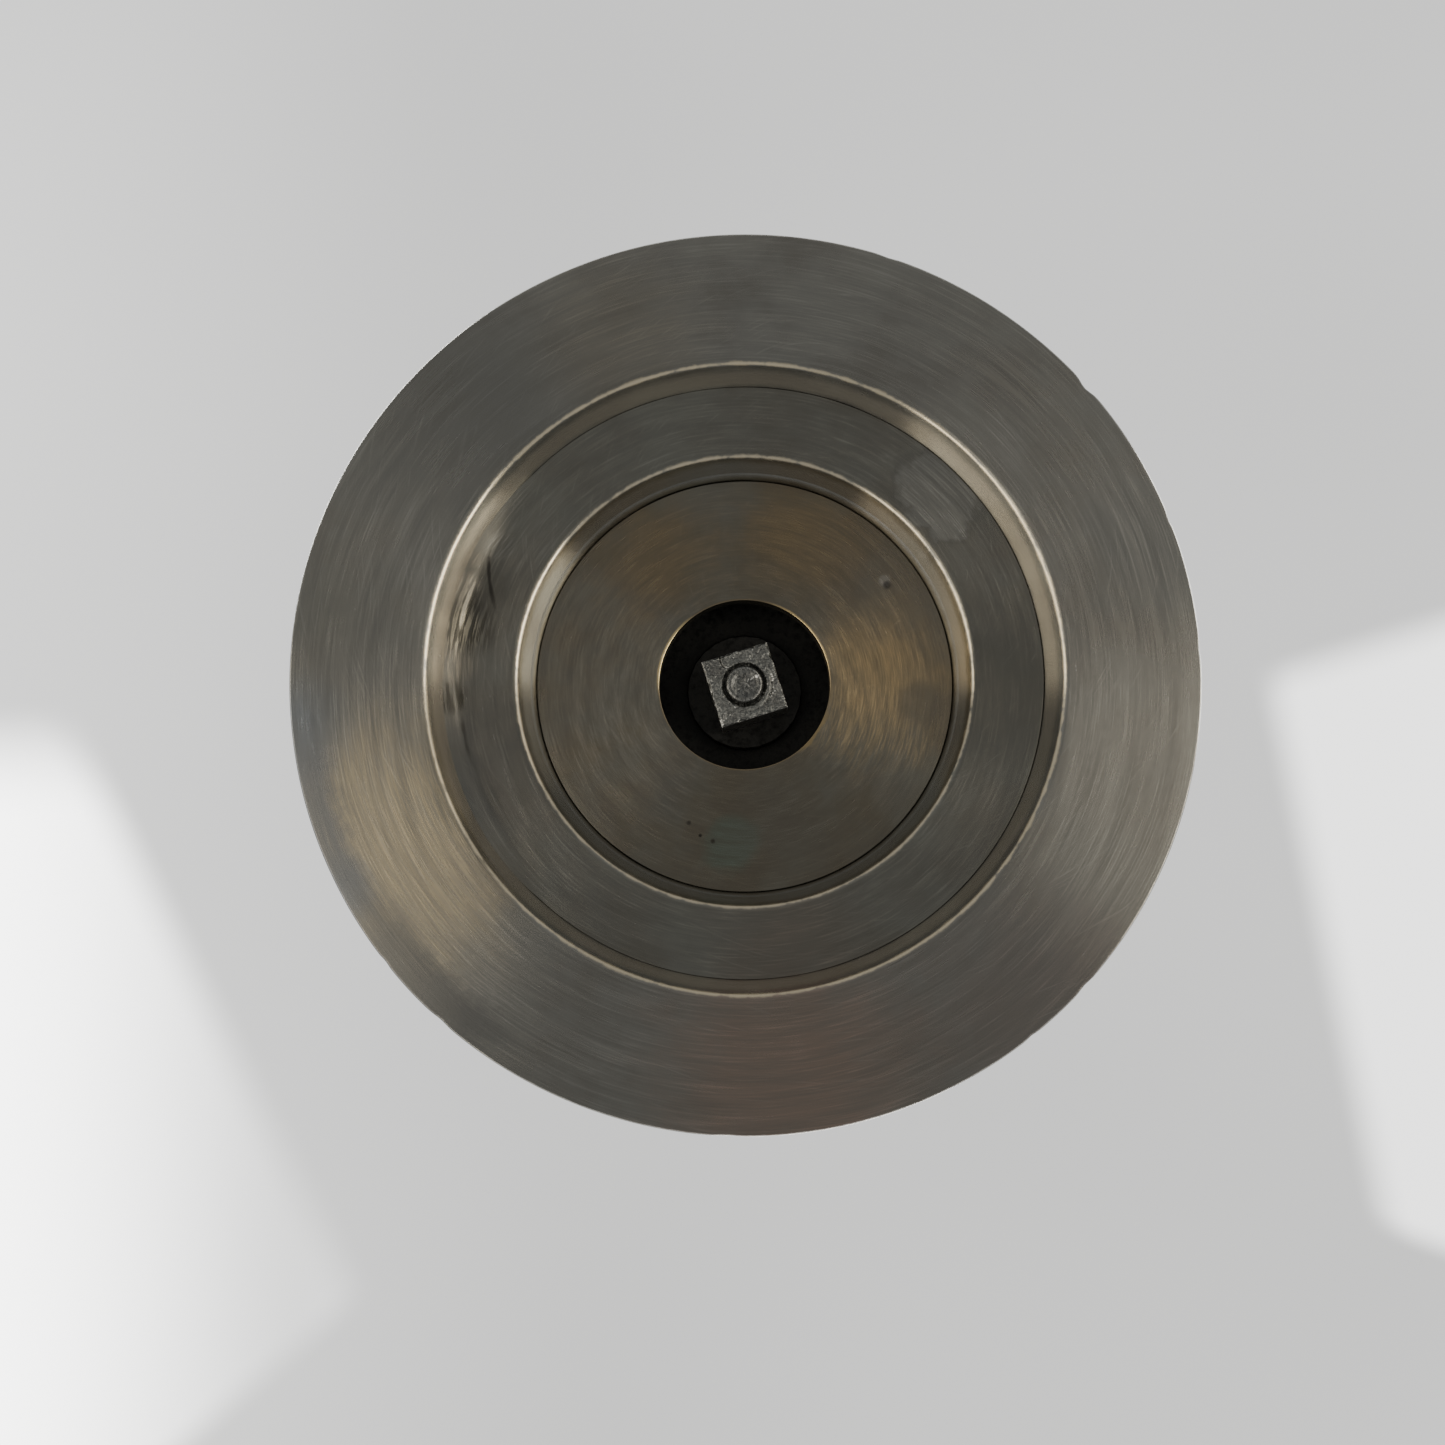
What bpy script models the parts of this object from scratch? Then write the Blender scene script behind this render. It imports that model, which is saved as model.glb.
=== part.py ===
"""A turned brass pepper mill with a wide stepped foot, as separate pieces.

The mill stands upright on its foot: +Z is up and the origin is the centre of the foot's
underside. Lengths below are in millimetres, and MM turns them into Blender's metres.
Heights are named from the underside upwards, and radii from the mill's axis outwards.
Pieces that touch on the real mill keep the clearance GAP between their faces.
"""

import math

import bmesh
import bpy
from mathutils import Matrix, Vector

MM = 0.001
GAP = 0.3

# Driving dimensions of the outside
FOOT_R = 32.0
FOOT_TOP_Z = 18.0
BARREL_TOP_Z = 80.0
WAIST_R = 17.0
WAIST_Z = 50.0
HEAD_R = 23.5
HEAD_TOP_Z = 103.0
KNOB_R = 11.0
KNOB_TOP_Z = 112.0

# The stepped underside: a wide flat rim, a ring set deeper, and the outlet plate deeper still
RECESS_MOUTH_R = 22.4
RECESS_R = 21.3
RECESS_DEPTH = 2.5
STEP_MOUTH_R = 16.2
STEP_R = 15.1
PLATE_DEPTH = 5.3
OUTLET_R = 6.2

# Bores of the foot and the barrel, and the stack of flanges that they clamp
SEAT_R = 18.0
FLANGE_R = SEAT_R - GAP
CHAMBER_LOW_R = 14.5
CHAMBER_R = 13.2
RING_TOP_Z = 7.5
PLATE_FLANGE_Z = RING_TOP_Z + GAP
PLATE_TOP_Z = 9.7
FUNNEL_R = 13.8
STATOR_Z = PLATE_TOP_Z + GAP
STATOR_FLANGE_TOP_Z = 14.7
STATOR_TOP_Z = 20.5
BARREL_Z = STATOR_FLANGE_TOP_Z + GAP
PIN_CIRCLE_R = 16.1
PIN_R = 0.8
PIN_HOLE_R = PIN_R + GAP

# The bridge under the shoulder of the barrel's bore, and the washer under the bridge
SHOULDER_Z = 34.0
BRIDGE_TOP_Z = SHOULDER_Z - GAP
BRIDGE_Z = BRIDGE_TOP_Z - 2.0
BRIDGE_HUB_R = 5.6
BRIDGE_RIM_R = 12.6
WASHER_THICK = 0.9
SPRING_WASHER_Z = BRIDGE_Z - GAP - WASHER_THICK

# The grinding surfaces close upwards in the fine band, so that lifting the rotor grinds finer
TOOTH_DEPTH = 0.55
TEETH = 24
FINE_TOP_Z = 14.5
FINE_R = 12.3
FINE_SLOPE = 0.3
THROAT_R = 13.5
GRIND_GAP = 0.65
FLUTES = 6
FLUTE_DEPTH = 1.6
FLUTE_TWIST = math.radians(50.0)

# The square spindle, the block riveted on its tail, and the rotor above the block
SQUARE = 5.0
SQUARE_TURN = math.radians(-17.5)
SQUARE_HOLE = SQUARE + 2 * GAP
CORNER_CLEAR_R = SQUARE / 2 * math.sqrt(2) + GAP
TAIL_R = 1.45
TAIL_HOLE_R = TAIL_R + GAP
BLOCK_Z = 5.6
BLOCK_HEIGHT = 3.5
ROTOR_WASHER_Z = BLOCK_Z + BLOCK_HEIGHT + GAP
ROTOR_Z = ROTOR_WASHER_Z + WASHER_THICK + GAP
ROTOR_TOP_Z = 20.8
ROTOR_NECK_R = 5.4
THREAD_Z = 97.5
THREAD_R = 2.4
THREAD_ROOT_R = 1.95
THREAD_PITCH = 0.8
SPINDLE_TOP_Z = 108.5

# The spring between the rotor and its washer
WIRE_R = 0.4
SPRING_R = 4.6
SPRING_TURNS = 5.5

# The head, its spigot and the drive plate that the spindle's square runs through
HEAD_WASHER_Z = BARREL_TOP_Z + GAP
HEAD_WASHER_THICK = 0.7
HEAD_Z = HEAD_WASHER_Z + HEAD_WASHER_THICK + GAP
HEAD_BORE_R = 13.1
HEAD_BORE_TOP_Z = 91.0
THREAD_HOLE_Z = 99.0
THREAD_HOLE_R = 2.8
SPIGOT_Z = 74.5
SPIGOT_R = HEAD_BORE_R - GAP
PLATE_THICK = 1.6
DRIVE_PLATE_Z = SPIGOT_Z - GAP - PLATE_THICK
SCREW_CIRCLE_R = 9.0
SCREW_R = 0.95
SCREW_HOLE_R = SCREW_R + GAP
SCREW_HEAD_R = 1.8
SCREW_TOP_Z = 80.4

# The adjusting knob on the spindle's thread, with its washer
KNOB_WASHER_THICK = 0.6
KNOB_WASHER_Z = HEAD_TOP_Z + GAP
KNOB_Z = KNOB_WASHER_Z + KNOB_WASHER_THICK + GAP
KNOB_BORE_R = THREAD_R + GAP
KNOB_BORE_TOP_Z = KNOB_TOP_Z - 1.6
SERRATIONS = 28
SERRATION_DEPTH = 0.5

# How many flat sides a round piece has
FINE_SEGMENTS = 48
MEDIUM_SEGMENTS = 36
COARSE_SEGMENTS = 24
SMALL_SEGMENTS = 12


def clear_scene():
    """Remove whatever the scene starts with."""
    for obj in list(bpy.data.objects):
        bpy.data.objects.remove(obj, do_unlink=True)


def finish_of(name, colour, roughness, metallic=1.0):
    """A plain Principled finish."""
    material = bpy.data.materials.new(name)
    material.use_nodes = True
    shader = material.node_tree.nodes["Principled BSDF"]
    shader.inputs["Base Color"].default_value = (*colour, 1.0)
    shader.inputs["Roughness"].default_value = roughness
    shader.inputs["Metallic"].default_value = metallic
    return material


def place(name, bm, finish, smooth_angle=35.0):
    """Turn a bmesh in millimetres into a named object in the scene."""
    bmesh.ops.scale(bm, vec=Vector((MM, MM, MM)), verts=bm.verts)
    bmesh.ops.recalc_face_normals(bm, faces=bm.faces)
    mesh = bpy.data.meshes.new(name)
    bm.to_mesh(mesh)
    bm.free()
    mesh.shade_smooth()
    mesh.set_sharp_from_angle(angle=math.radians(smooth_angle))
    if finish is not None:
        mesh.materials.append(finish)
    obj = bpy.data.objects.new(name, mesh)
    bpy.context.scene.collection.objects.link(obj)
    return obj


def turned(name, outline, finish, segments=MEDIUM_SEGMENTS):
    """Spin an outline of (radius, height) points about Z, closing it on itself or on the axis."""
    bm = bmesh.new()
    ring = [bm.verts.new((radius, 0.0, height)) for radius, height in outline]
    on_axis = outline[0][0] == 0.0 and outline[-1][0] == 0.0
    pairs = list(zip(ring, ring[1:]))
    if not on_axis:
        pairs.append((ring[-1], ring[0]))
    edges = [bm.edges.new(pair) for pair in pairs]
    bmesh.ops.spin(
        bm, geom=ring + edges, cent=(0, 0, 0), axis=(0, 0, 1), dvec=(0, 0, 0),
        angle=math.tau, steps=segments, use_merge=True, use_duplicate=False,
    )
    bmesh.ops.remove_doubles(bm, verts=bm.verts, dist=1e-4)
    bmesh.ops.dissolve_degenerate(bm, edges=bm.edges, dist=1e-5)
    return place(name, bm, finish)


def ring_section(inner, outer, low, high, edge=0.2):
    """The outline of a flat ring with its outer edges broken by a small chamfer."""
    return [
        (inner, low), (outer - edge, low), (outer, low + edge),
        (outer, high - edge), (outer - edge, high), (inner, high),
    ]


def arc(centre, radii, start, end, steps):
    """Points on an ellipse arc from start to end degrees, both ends included."""
    points = []
    for step in range(steps + 1):
        angle = math.radians(start + (end - start) * step / steps)
        points.append((
            centre[0] + radii[0] * math.cos(angle),
            centre[1] + radii[1] * math.sin(angle),
        ))
    return points


def box(name, size, centre, finish=None, turn=0.0):
    """A box of the given full size, turned about Z through the angle turn."""
    bm = bmesh.new()
    bmesh.ops.create_cube(bm, size=1.0)
    bmesh.ops.scale(bm, vec=Vector(size), verts=bm.verts)
    matrix = Matrix.Rotation(turn, 4, "Z") @ Matrix.Translation(Vector(centre))
    bmesh.ops.transform(bm, matrix=matrix, verts=bm.verts)
    return place(name, bm, finish)


def rod(name, radius, low, high, centre=(0.0, 0.0), finish=None, segments=SMALL_SEGMENTS):
    """An upright round rod."""
    bm = bmesh.new()
    bmesh.ops.create_cone(
        bm, cap_ends=True, segments=segments, radius1=radius, radius2=radius, depth=high - low,
    )
    matrix = Matrix.Translation(Vector((centre[0], centre[1], (low + high) / 2)))
    bmesh.ops.transform(bm, matrix=matrix, verts=bm.verts)
    return place(name, bm, finish)


def boolean(obj, other, operation):
    """Cut other from obj, or join it on, and keep other out of the model."""
    other.hide_render = True
    other.display_type = "WIRE"
    modifier = obj.modifiers.new(f"{operation.lower()}_{other.name}", "BOOLEAN")
    modifier.operation = operation
    modifier.solver = "EXACT"
    modifier.object = other
    return obj


def drill(obj, name, radius, low, high, centres, segments=SMALL_SEGMENTS):
    """Cut the same upright round hole at each centre."""
    for i, centre in enumerate(centres):
        cutter = rod(f"{name}_{i + 1}", radius, low, high, centre, segments=segments)
        boolean(obj, cutter, "DIFFERENCE")
    return obj


def lofted(name, rings, finish, closed):
    """Skin a list of point rings. A closed loft returns to its first ring, an open one is capped."""
    bm = bmesh.new()
    rows = [[bm.verts.new(point) for point in ring] for ring in rings]
    pairs = list(zip(rows, rows[1:]))
    if closed:
        pairs.append((rows[-1], rows[0]))
    count = len(rings[0])
    for low, high in pairs:
        for i in range(count):
            j = (i + 1) % count
            bm.faces.new((low[i], low[j], high[j], high[i]))
    if not closed:
        bm.faces.new(list(reversed(rows[0])))
        bm.faces.new(rows[-1])
    return place(name, bm, finish)


def polar_ring(radius_at, height, count):
    """A ring of points whose radius is a function of the angle."""
    points = []
    for i in range(count):
        angle = math.tau * i / count
        radius = radius_at(angle)
        points.append((radius * math.cos(angle), radius * math.sin(angle), height))
    return points


def round_ring(radius, height, count):
    """A plain ring of points."""
    return polar_ring(lambda angle: radius, height, count)


def spaced(count, radius, start=0.0):
    """Centres evenly spaced on a circle."""
    return [
        (radius * math.cos(start + math.tau * i / count),
         radius * math.sin(start + math.tau * i / count))
        for i in range(count)
    ]


# ------------------------------------------------- the body, which stays still


def base_foot(finish):
    """The wide foot: a flat rim, a coved top, and stepped bores for the ring and the grinder."""
    edge_z = 1.7
    neck_r = 21.5
    cove = arc((FOOT_R - 1.0, FOOT_TOP_Z - 1.0), (9.5, 14.6), 270, 180, 7)
    outline = [
        (RECESS_MOUTH_R, 0.0), (FOOT_R - 0.25, 0.0), (FOOT_R, 0.25),
        (FOOT_R, edge_z), (FOOT_R - 0.3, edge_z + 0.5), *cove, (neck_r, FOOT_TOP_Z),
        (SEAT_R, FOOT_TOP_Z), (SEAT_R, PLATE_FLANGE_Z), (RECESS_R, PLATE_FLANGE_Z),
        (RECESS_R, RECESS_DEPTH),
    ]
    return turned("base_foot", outline, finish, FINE_SEGMENTS)


def retaining_ring(finish):
    """The ring pressed into the foot, which holds the outlet plate and the grinder above it."""
    outer = RECESS_R - GAP
    outline = [
        (STEP_MOUTH_R, RECESS_DEPTH), (outer, RECESS_DEPTH), (outer, RING_TOP_Z),
        (STEP_R, RING_TOP_Z), (STEP_R, PLATE_DEPTH),
    ]
    return turned("retaining_ring", outline, finish, FINE_SEGMENTS)


def outlet_plate(finish):
    """The disc with the outlet hole, dished on top as a funnel and flanged to sit on the ring."""
    boss = STEP_R - GAP
    land = 1.6
    outline = [
        (OUTLET_R, PLATE_DEPTH), (boss, PLATE_DEPTH), (boss, PLATE_FLANGE_Z),
        (FLANGE_R, PLATE_FLANGE_Z), (FLANGE_R, PLATE_TOP_Z), (FUNNEL_R, PLATE_TOP_Z),
        (OUTLET_R, PLATE_DEPTH + land),
    ]
    return turned("outlet_plate", outline, finish, FINE_SEGMENTS)


def tooth_wave(angle, count):
    """A tooth that repeats count times around, from 0 at the tip to 1 at the root."""
    return (angle * count / math.tau) % 1.0


def stator_radius(height):
    """The stator's tooth tips: closing upwards in the fine band, then opening to the throat."""
    if height <= FINE_TOP_Z:
        return FINE_R - FINE_SLOPE * (height - STATOR_Z)
    narrow = FINE_R - FINE_SLOPE * (FINE_TOP_Z - STATOR_Z)
    share = (height - FINE_TOP_Z) / (STATOR_TOP_Z - FINE_TOP_Z)
    return narrow + (THROAT_R - narrow) * share


def stator_ring(finish, pin_centres):
    """The fixed grinding ring, toothed inside, flanged to sit in the foot."""
    count = TEETH * 2
    inside = []
    for height in (STATOR_Z, FINE_TOP_Z, 17.5, STATOR_TOP_Z):
        depth = TOOTH_DEPTH if height < STATOR_TOP_Z else 0.0

        def radius_at(angle, height=height, depth=depth):
            return stator_radius(height) + 2 * depth * tooth_wave(angle, TEETH)

        inside.append(polar_ring(radius_at, height, count))
    body = CHAMBER_LOW_R - GAP
    outside = [
        round_ring(body, STATOR_TOP_Z, count), round_ring(body, STATOR_FLANGE_TOP_Z, count),
        round_ring(FLANGE_R, STATOR_FLANGE_TOP_Z, count), round_ring(FLANGE_R, STATOR_Z, count),
    ]
    ring = lofted("stator_ring", inside + outside, finish, closed=True)
    low = STATOR_FLANGE_TOP_Z - 2.5
    return drill(ring, "stator_hole", PIN_HOLE_R, low, BARREL_Z, pin_centres)


def stator_pin(index, centre, finish):
    """One of the two dowels that stop the stator turning."""
    low = STATOR_FLANGE_TOP_Z - 2.1
    return rod(f"stator_pin_{index}", PIN_R, low, low + 4.9, centre, finish)


def barrel_radius(height):
    """The waisted outside of the barrel."""
    return WAIST_R + 0.0031 * (height - WAIST_Z) ** 2


def body_barrel(finish, pin_centres):
    """The waisted barrel that holds the peppercorns, with a spigot down into the foot."""
    low = FOOT_TOP_Z + GAP
    curve_z = 22.4
    curve_top_z = 76.0
    steps = 9
    heights = [curve_z + (curve_top_z - curve_z) * i / steps for i in range(steps + 1)]
    outline = [
        (CHAMBER_LOW_R, BARREL_Z), (FLANGE_R, BARREL_Z), (FLANGE_R, low), (21.2, low),
        *arc((20.6, low + 1.6), (1.3, 1.6), -60, 90, 4),
        *[(barrel_radius(height), height) for height in heights],
        *arc((19.0, BARREL_TOP_Z - 1.8), (1.5, 1.8), -60, 90, 4),
        (CHAMBER_R, BARREL_TOP_Z), (CHAMBER_R, SHOULDER_Z), (CHAMBER_LOW_R, SHOULDER_Z),
    ]
    barrel = turned("body_barrel", outline, finish)
    return drill(barrel, "barrel_hole", PIN_HOLE_R, BARREL_Z - 1.0, FOOT_TOP_Z, pin_centres)


def guide_bridge(finish):
    """The three-armed bridge that guides the spindle above the grinder."""
    rim_section = ring_section(BRIDGE_RIM_R, CHAMBER_LOW_R - GAP, BRIDGE_Z, BRIDGE_TOP_Z)
    rim = turned("guide_bridge", rim_section, finish)
    hub_section = ring_section(CORNER_CLEAR_R, BRIDGE_HUB_R, BRIDGE_Z, BRIDGE_TOP_Z + 1.5)
    boolean(rim, turned("bridge_hub", hub_section, None, COARSE_SEGMENTS), "UNION")
    middle = ((BRIDGE_HUB_R + BRIDGE_RIM_R) / 2, 0.0, (BRIDGE_Z + BRIDGE_TOP_Z) / 2)
    length = BRIDGE_RIM_R - BRIDGE_HUB_R + 1.2
    for i in range(3):
        arm = box(f"bridge_arm_{i + 1}", (length, 3.2, 1.8), middle, turn=math.tau * i / 3)
        boolean(rim, arm, "UNION")
    return rim


def head_washer(finish):
    """The fibre ring that the head turns on."""
    high = HEAD_WASHER_Z + HEAD_WASHER_THICK
    section = ring_section(CHAMBER_R + 0.4, 18.4, HEAD_WASHER_Z, high, 0.1)
    return turned("head_washer", section, finish)


# ------------------------------------------ the washer that turns but doesn't rise


def spring_washer(finish):
    """The washer between the spring and the bridge."""
    high = SPRING_WASHER_Z + WASHER_THICK
    section = ring_section(CORNER_CLEAR_R, 6.0, SPRING_WASHER_Z, high, 0.1)
    return turned("spring_washer", section, finish, COARSE_SEGMENTS)


# ------------------------------------------------------- the head and its drive


def head_cap(finish):
    """The rounded head with its flat top, bored from below for the spigot and the spindle."""
    collar_r = 19.6
    collar_z = HEAD_Z + 2.2
    bulge = arc((HEAD_R - 7.5, HEAD_TOP_Z - 8.0), (7.5, 8.0), -50, 90, 8)
    outline = [
        (HEAD_BORE_R, HEAD_Z), (collar_r - 0.4, HEAD_Z), (collar_r, HEAD_Z + 0.4),
        (collar_r, collar_z), (collar_r - 0.6, collar_z + 0.6), (collar_r - 1.2, collar_z + 2.0),
        *bulge, (THREAD_HOLE_R, HEAD_TOP_Z), (THREAD_HOLE_R, THREAD_HOLE_Z),
        (CORNER_CLEAR_R, THREAD_HOLE_Z), (CORNER_CLEAR_R, HEAD_BORE_TOP_Z),
        (HEAD_BORE_R, HEAD_BORE_TOP_Z),
    ]
    return turned("head_cap", outline, finish)


def head_spigot(finish, screw_centres):
    """The bush pressed into the head, which centres it in the barrel's mouth."""
    section = ring_section(CORNER_CLEAR_R, SPIGOT_R, SPIGOT_Z, HEAD_BORE_TOP_Z - GAP, 0.4)
    spigot = turned("head_spigot", section, finish)
    return drill(spigot, "spigot_hole", SCREW_HOLE_R, SPIGOT_Z - 1.0, SCREW_TOP_Z + 0.8, screw_centres)


def drive_plate(finish, screw_centres):
    """The plate with the square hole that turns the spindle."""
    high = DRIVE_PLATE_Z + PLATE_THICK
    outline = [(0.0, DRIVE_PLATE_Z), (SPIGOT_R, DRIVE_PLATE_Z), (SPIGOT_R, high), (0.0, high)]
    plate = turned("drive_plate", outline, finish)
    square = box("drive_square", (SQUARE_HOLE, SQUARE_HOLE, 6.0), (0, 0, high), turn=SQUARE_TURN)
    boolean(plate, square, "DIFFERENCE")
    return drill(
        plate, "plate_hole", SCREW_HOLE_R, DRIVE_PLATE_Z - 1.0, high + 1.0, screw_centres,
    )


def drive_plate_screw(index, centre, finish):
    """A small pan-head screw, driven upwards into the spigot, with a slot in its head."""
    seat = DRIVE_PLATE_Z - GAP
    bottom = seat - 1.2
    outline = [
        (0.0, bottom), (SCREW_HEAD_R - 0.5, bottom), (SCREW_HEAD_R, bottom + 0.5),
        (SCREW_HEAD_R, seat), (SCREW_R, seat), (SCREW_R, SCREW_TOP_Z - 0.6), (0.0, SCREW_TOP_Z),
    ]
    screw = turned(f"drive_plate_screw_{index}", outline, finish, SMALL_SEGMENTS)
    slot = box(f"screw_slot_{index}", (0.6, 5.0, 1.1), (0.0, 0.0, bottom))
    for obj in (screw, slot):
        obj.location = (centre[0] * MM, centre[1] * MM, 0.0)
    return boolean(screw, slot, "DIFFERENCE")


def knob_washer(finish):
    """The washer under the adjusting knob."""
    high = KNOB_WASHER_Z + KNOB_WASHER_THICK
    section = ring_section(THREAD_HOLE_R + GAP, 7.0, KNOB_WASHER_Z, high, 0.1)
    return turned("knob_washer", section, finish, COARSE_SEGMENTS)


# ------------------------------------------------------------ the adjusting knob


def adjusting_knob(finish):
    """The flat-topped knob with a serrated rim and a blind hole for the spindle's thread."""
    count = SERRATIONS * 2

    def serrated_ring(height):
        def radius_at(angle):
            return KNOB_R - SERRATION_DEPTH * (round(angle * count / math.tau) % 2)
        return polar_ring(radius_at, height, count)

    neck_r = 8.6
    rings = [
        round_ring(KNOB_BORE_R, KNOB_BORE_TOP_Z, count), round_ring(KNOB_BORE_R, KNOB_Z, count),
        round_ring(neck_r, KNOB_Z, count), round_ring(neck_r + 0.8, KNOB_Z + 0.9, count),
        round_ring(KNOB_R - 0.6, KNOB_Z + 1.3, count),
        serrated_ring(KNOB_Z + 2.0), serrated_ring(KNOB_TOP_Z - 1.4),
        round_ring(KNOB_R - 0.8, KNOB_TOP_Z - 0.5, count),
        round_ring(KNOB_R - 1.4, KNOB_TOP_Z, count),
    ]
    return lofted("adjusting_knob", rings, finish, closed=False)


# ------------------------------------------------- the pieces that rise together


def spindle(finish):
    """The square spindle: a round riveted tail below and a threaded end above."""
    low = ROTOR_Z + 0.4
    shank = box(
        "spindle", (SQUARE, SQUARE, THREAD_Z - low), (0.0, 0.0, (THREAD_Z + low) / 2), finish,
        turn=SQUARE_TURN,
    )
    tail = [
        (0.0, BLOCK_Z - 0.4), (0.8, BLOCK_Z - 0.35), (1.2, BLOCK_Z - 0.15),
        (TAIL_R, BLOCK_Z + 0.15), (TAIL_R, low + 1.0), (0.0, low + 1.0),
    ]
    boolean(shank, turned("spindle_tail", tail, None, COARSE_SEGMENTS), "UNION")
    first = THREAD_Z + 0.6
    turns = int((SPINDLE_TOP_Z - first - 0.9) / THREAD_PITCH)
    thread = [(0.0, THREAD_Z - 1.0), (THREAD_ROOT_R, THREAD_Z - 1.0), (THREAD_ROOT_R, first)]
    for i in range(turns):
        base = first + i * THREAD_PITCH
        thread.append((THREAD_R, base + THREAD_PITCH / 2))
        thread.append((THREAD_ROOT_R, base + THREAD_PITCH))
    thread += [(THREAD_ROOT_R - 0.3, SPINDLE_TOP_Z), (0.0, SPINDLE_TOP_Z)]
    boolean(shank, turned("spindle_thread", thread, None, SMALL_SEGMENTS), "UNION")
    return shank


def spindle_end_block(finish):
    """The square block riveted on the spindle's tail under the rotor."""
    block = box(
        "spindle_end_block", (SQUARE, SQUARE, BLOCK_HEIGHT),
        (0.0, 0.0, BLOCK_Z + BLOCK_HEIGHT / 2), finish, turn=SQUARE_TURN,
    )
    top = BLOCK_Z + BLOCK_HEIGHT + 1.0
    return drill(block, "block_hole", TAIL_HOLE_R, BLOCK_Z - 1.0, top, [(0, 0)], COARSE_SEGMENTS)


def rotor_washer(finish):
    """The washer between the end block and the rotor."""
    high = ROTOR_WASHER_Z + WASHER_THICK
    section = ring_section(TAIL_HOLE_R, 4.3, ROTOR_WASHER_Z, high, 0.1)
    return turned("rotor_washer", section, finish, COARSE_SEGMENTS)


def rotor_burr(finish):
    """The turning burr: a fine toothed band below and a fluted feed cone above."""
    count = TEETH * 2
    cone_z = FINE_TOP_Z + 0.8
    cone_top_z = ROTOR_TOP_Z - 0.6
    cone_r = stator_radius(FINE_TOP_Z) - GRIND_GAP - 0.2
    cone_top_r = 6.4
    rings = []
    for height in (ROTOR_Z, FINE_TOP_Z):
        tip = stator_radius(height) - GRIND_GAP

        def fine_radius(angle, tip=tip):
            return tip - 2 * TOOTH_DEPTH * tooth_wave(angle, TEETH)

        rings.append(polar_ring(fine_radius, height, count))
    steps = 4
    for i in range(steps + 1):
        share = i / steps
        height = cone_z + (cone_top_z - cone_z) * share
        radius = cone_r + (cone_top_r - cone_r) * share
        depth = FLUTE_DEPTH * min(1.0, 0.35 + share) * (1.0 - 0.55 * share)

        def flute_radius(angle, radius=radius, depth=depth, turn=FLUTE_TWIST * share):
            return radius - depth * tooth_wave(angle + turn, FLUTES)

        rings.append(polar_ring(flute_radius, height, count))
    rings.append(round_ring(ROTOR_NECK_R, cone_top_z + 0.1, count))
    rings.append(round_ring(ROTOR_NECK_R, ROTOR_TOP_Z, count))
    rotor = lofted("rotor_burr", rings, finish, closed=False)
    middle = (0.0, 0.0, (ROTOR_Z + ROTOR_TOP_Z) / 2)
    hole = box("rotor_square", (SQUARE_HOLE, SQUARE_HOLE, 16.0), middle, turn=SQUARE_TURN)
    return boolean(rotor, hole, "DIFFERENCE")


def rotor_spring(finish):
    """The compression spring that pushes the rotor down, with its end turns closed up."""
    points_per_turn = 14
    low = ROTOR_TOP_Z + GAP + WIRE_R
    high = SPRING_WASHER_Z - GAP - WIRE_R
    curve = bpy.data.curves.new("rotor_spring", "CURVE")
    curve.dimensions = "3D"
    curve.bevel_depth = WIRE_R * MM
    curve.bevel_resolution = 1
    curve.use_fill_caps = True
    count = int(SPRING_TURNS * points_per_turn) + 1
    line = curve.splines.new("POLY")
    line.points.add(count - 1)
    for i in range(count):
        angle = math.tau * i / points_per_turn
        share = i / (count - 1)
        eased = share - 0.11 * math.sin(math.tau * share)
        x = SPRING_R * math.cos(angle) * MM
        y = SPRING_R * math.sin(angle) * MM
        line.points[i].co = (x, y, (low + (high - low) * eased) * MM, 1.0)
    curve.materials.append(finish)
    spring = bpy.data.objects.new("rotor_spring", curve)
    bpy.context.scene.collection.objects.link(spring)
    return spring


def main():
    """Build every piece of the mill."""
    clear_scene()
    plated = finish_of("plated_brass", (0.36, 0.33, 0.29), 0.38)
    bare_brass = finish_of("bare_brass", (0.42, 0.33, 0.19), 0.4)
    steel = finish_of("steel", (0.42, 0.42, 0.42), 0.42)
    burr_steel = finish_of("burr_steel", (0.06, 0.06, 0.06), 0.55)
    spring_steel = finish_of("spring_steel", (0.5, 0.5, 0.5), 0.3)
    fibre = finish_of("fibre", (0.05, 0.04, 0.035), 0.8, metallic=0.0)
    pin_centres = spaced(2, PIN_CIRCLE_R)
    screw_centres = spaced(3, SCREW_CIRCLE_R, math.radians(30))

    base_foot(plated)
    retaining_ring(plated)
    outlet_plate(bare_brass)
    stator_ring(burr_steel, pin_centres)
    for i, centre in enumerate(pin_centres):
        stator_pin(i + 1, centre, steel)
    body_barrel(plated, pin_centres)
    guide_bridge(steel)
    head_washer(fibre)

    spring_washer(steel)

    head_cap(plated)
    head_spigot(bare_brass, screw_centres)
    drive_plate(steel, screw_centres)
    for i, centre in enumerate(screw_centres):
        drive_plate_screw(i + 1, centre, steel)
    knob_washer(steel)

    adjusting_knob(bare_brass)

    spindle(steel)
    spindle_end_block(steel)
    rotor_washer(burr_steel)
    rotor_burr(burr_steel)
    rotor_spring(spring_steel)


main()
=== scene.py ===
"""Looks of a turned metal pepper mill, built around its packed frame.

Lengths are in millimetres and become metres where a mesh is made. +Z runs up the mill's axis
from the foot's flat underside, and most pieces are turned about that axis.
"""

from __future__ import annotations

import logging
import math
from dataclasses import dataclass
from enum import Enum
from functools import partial
from typing import Callable, Sequence

import bmesh
import bpy
from mathutils import Matrix, Vector, noise


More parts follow.
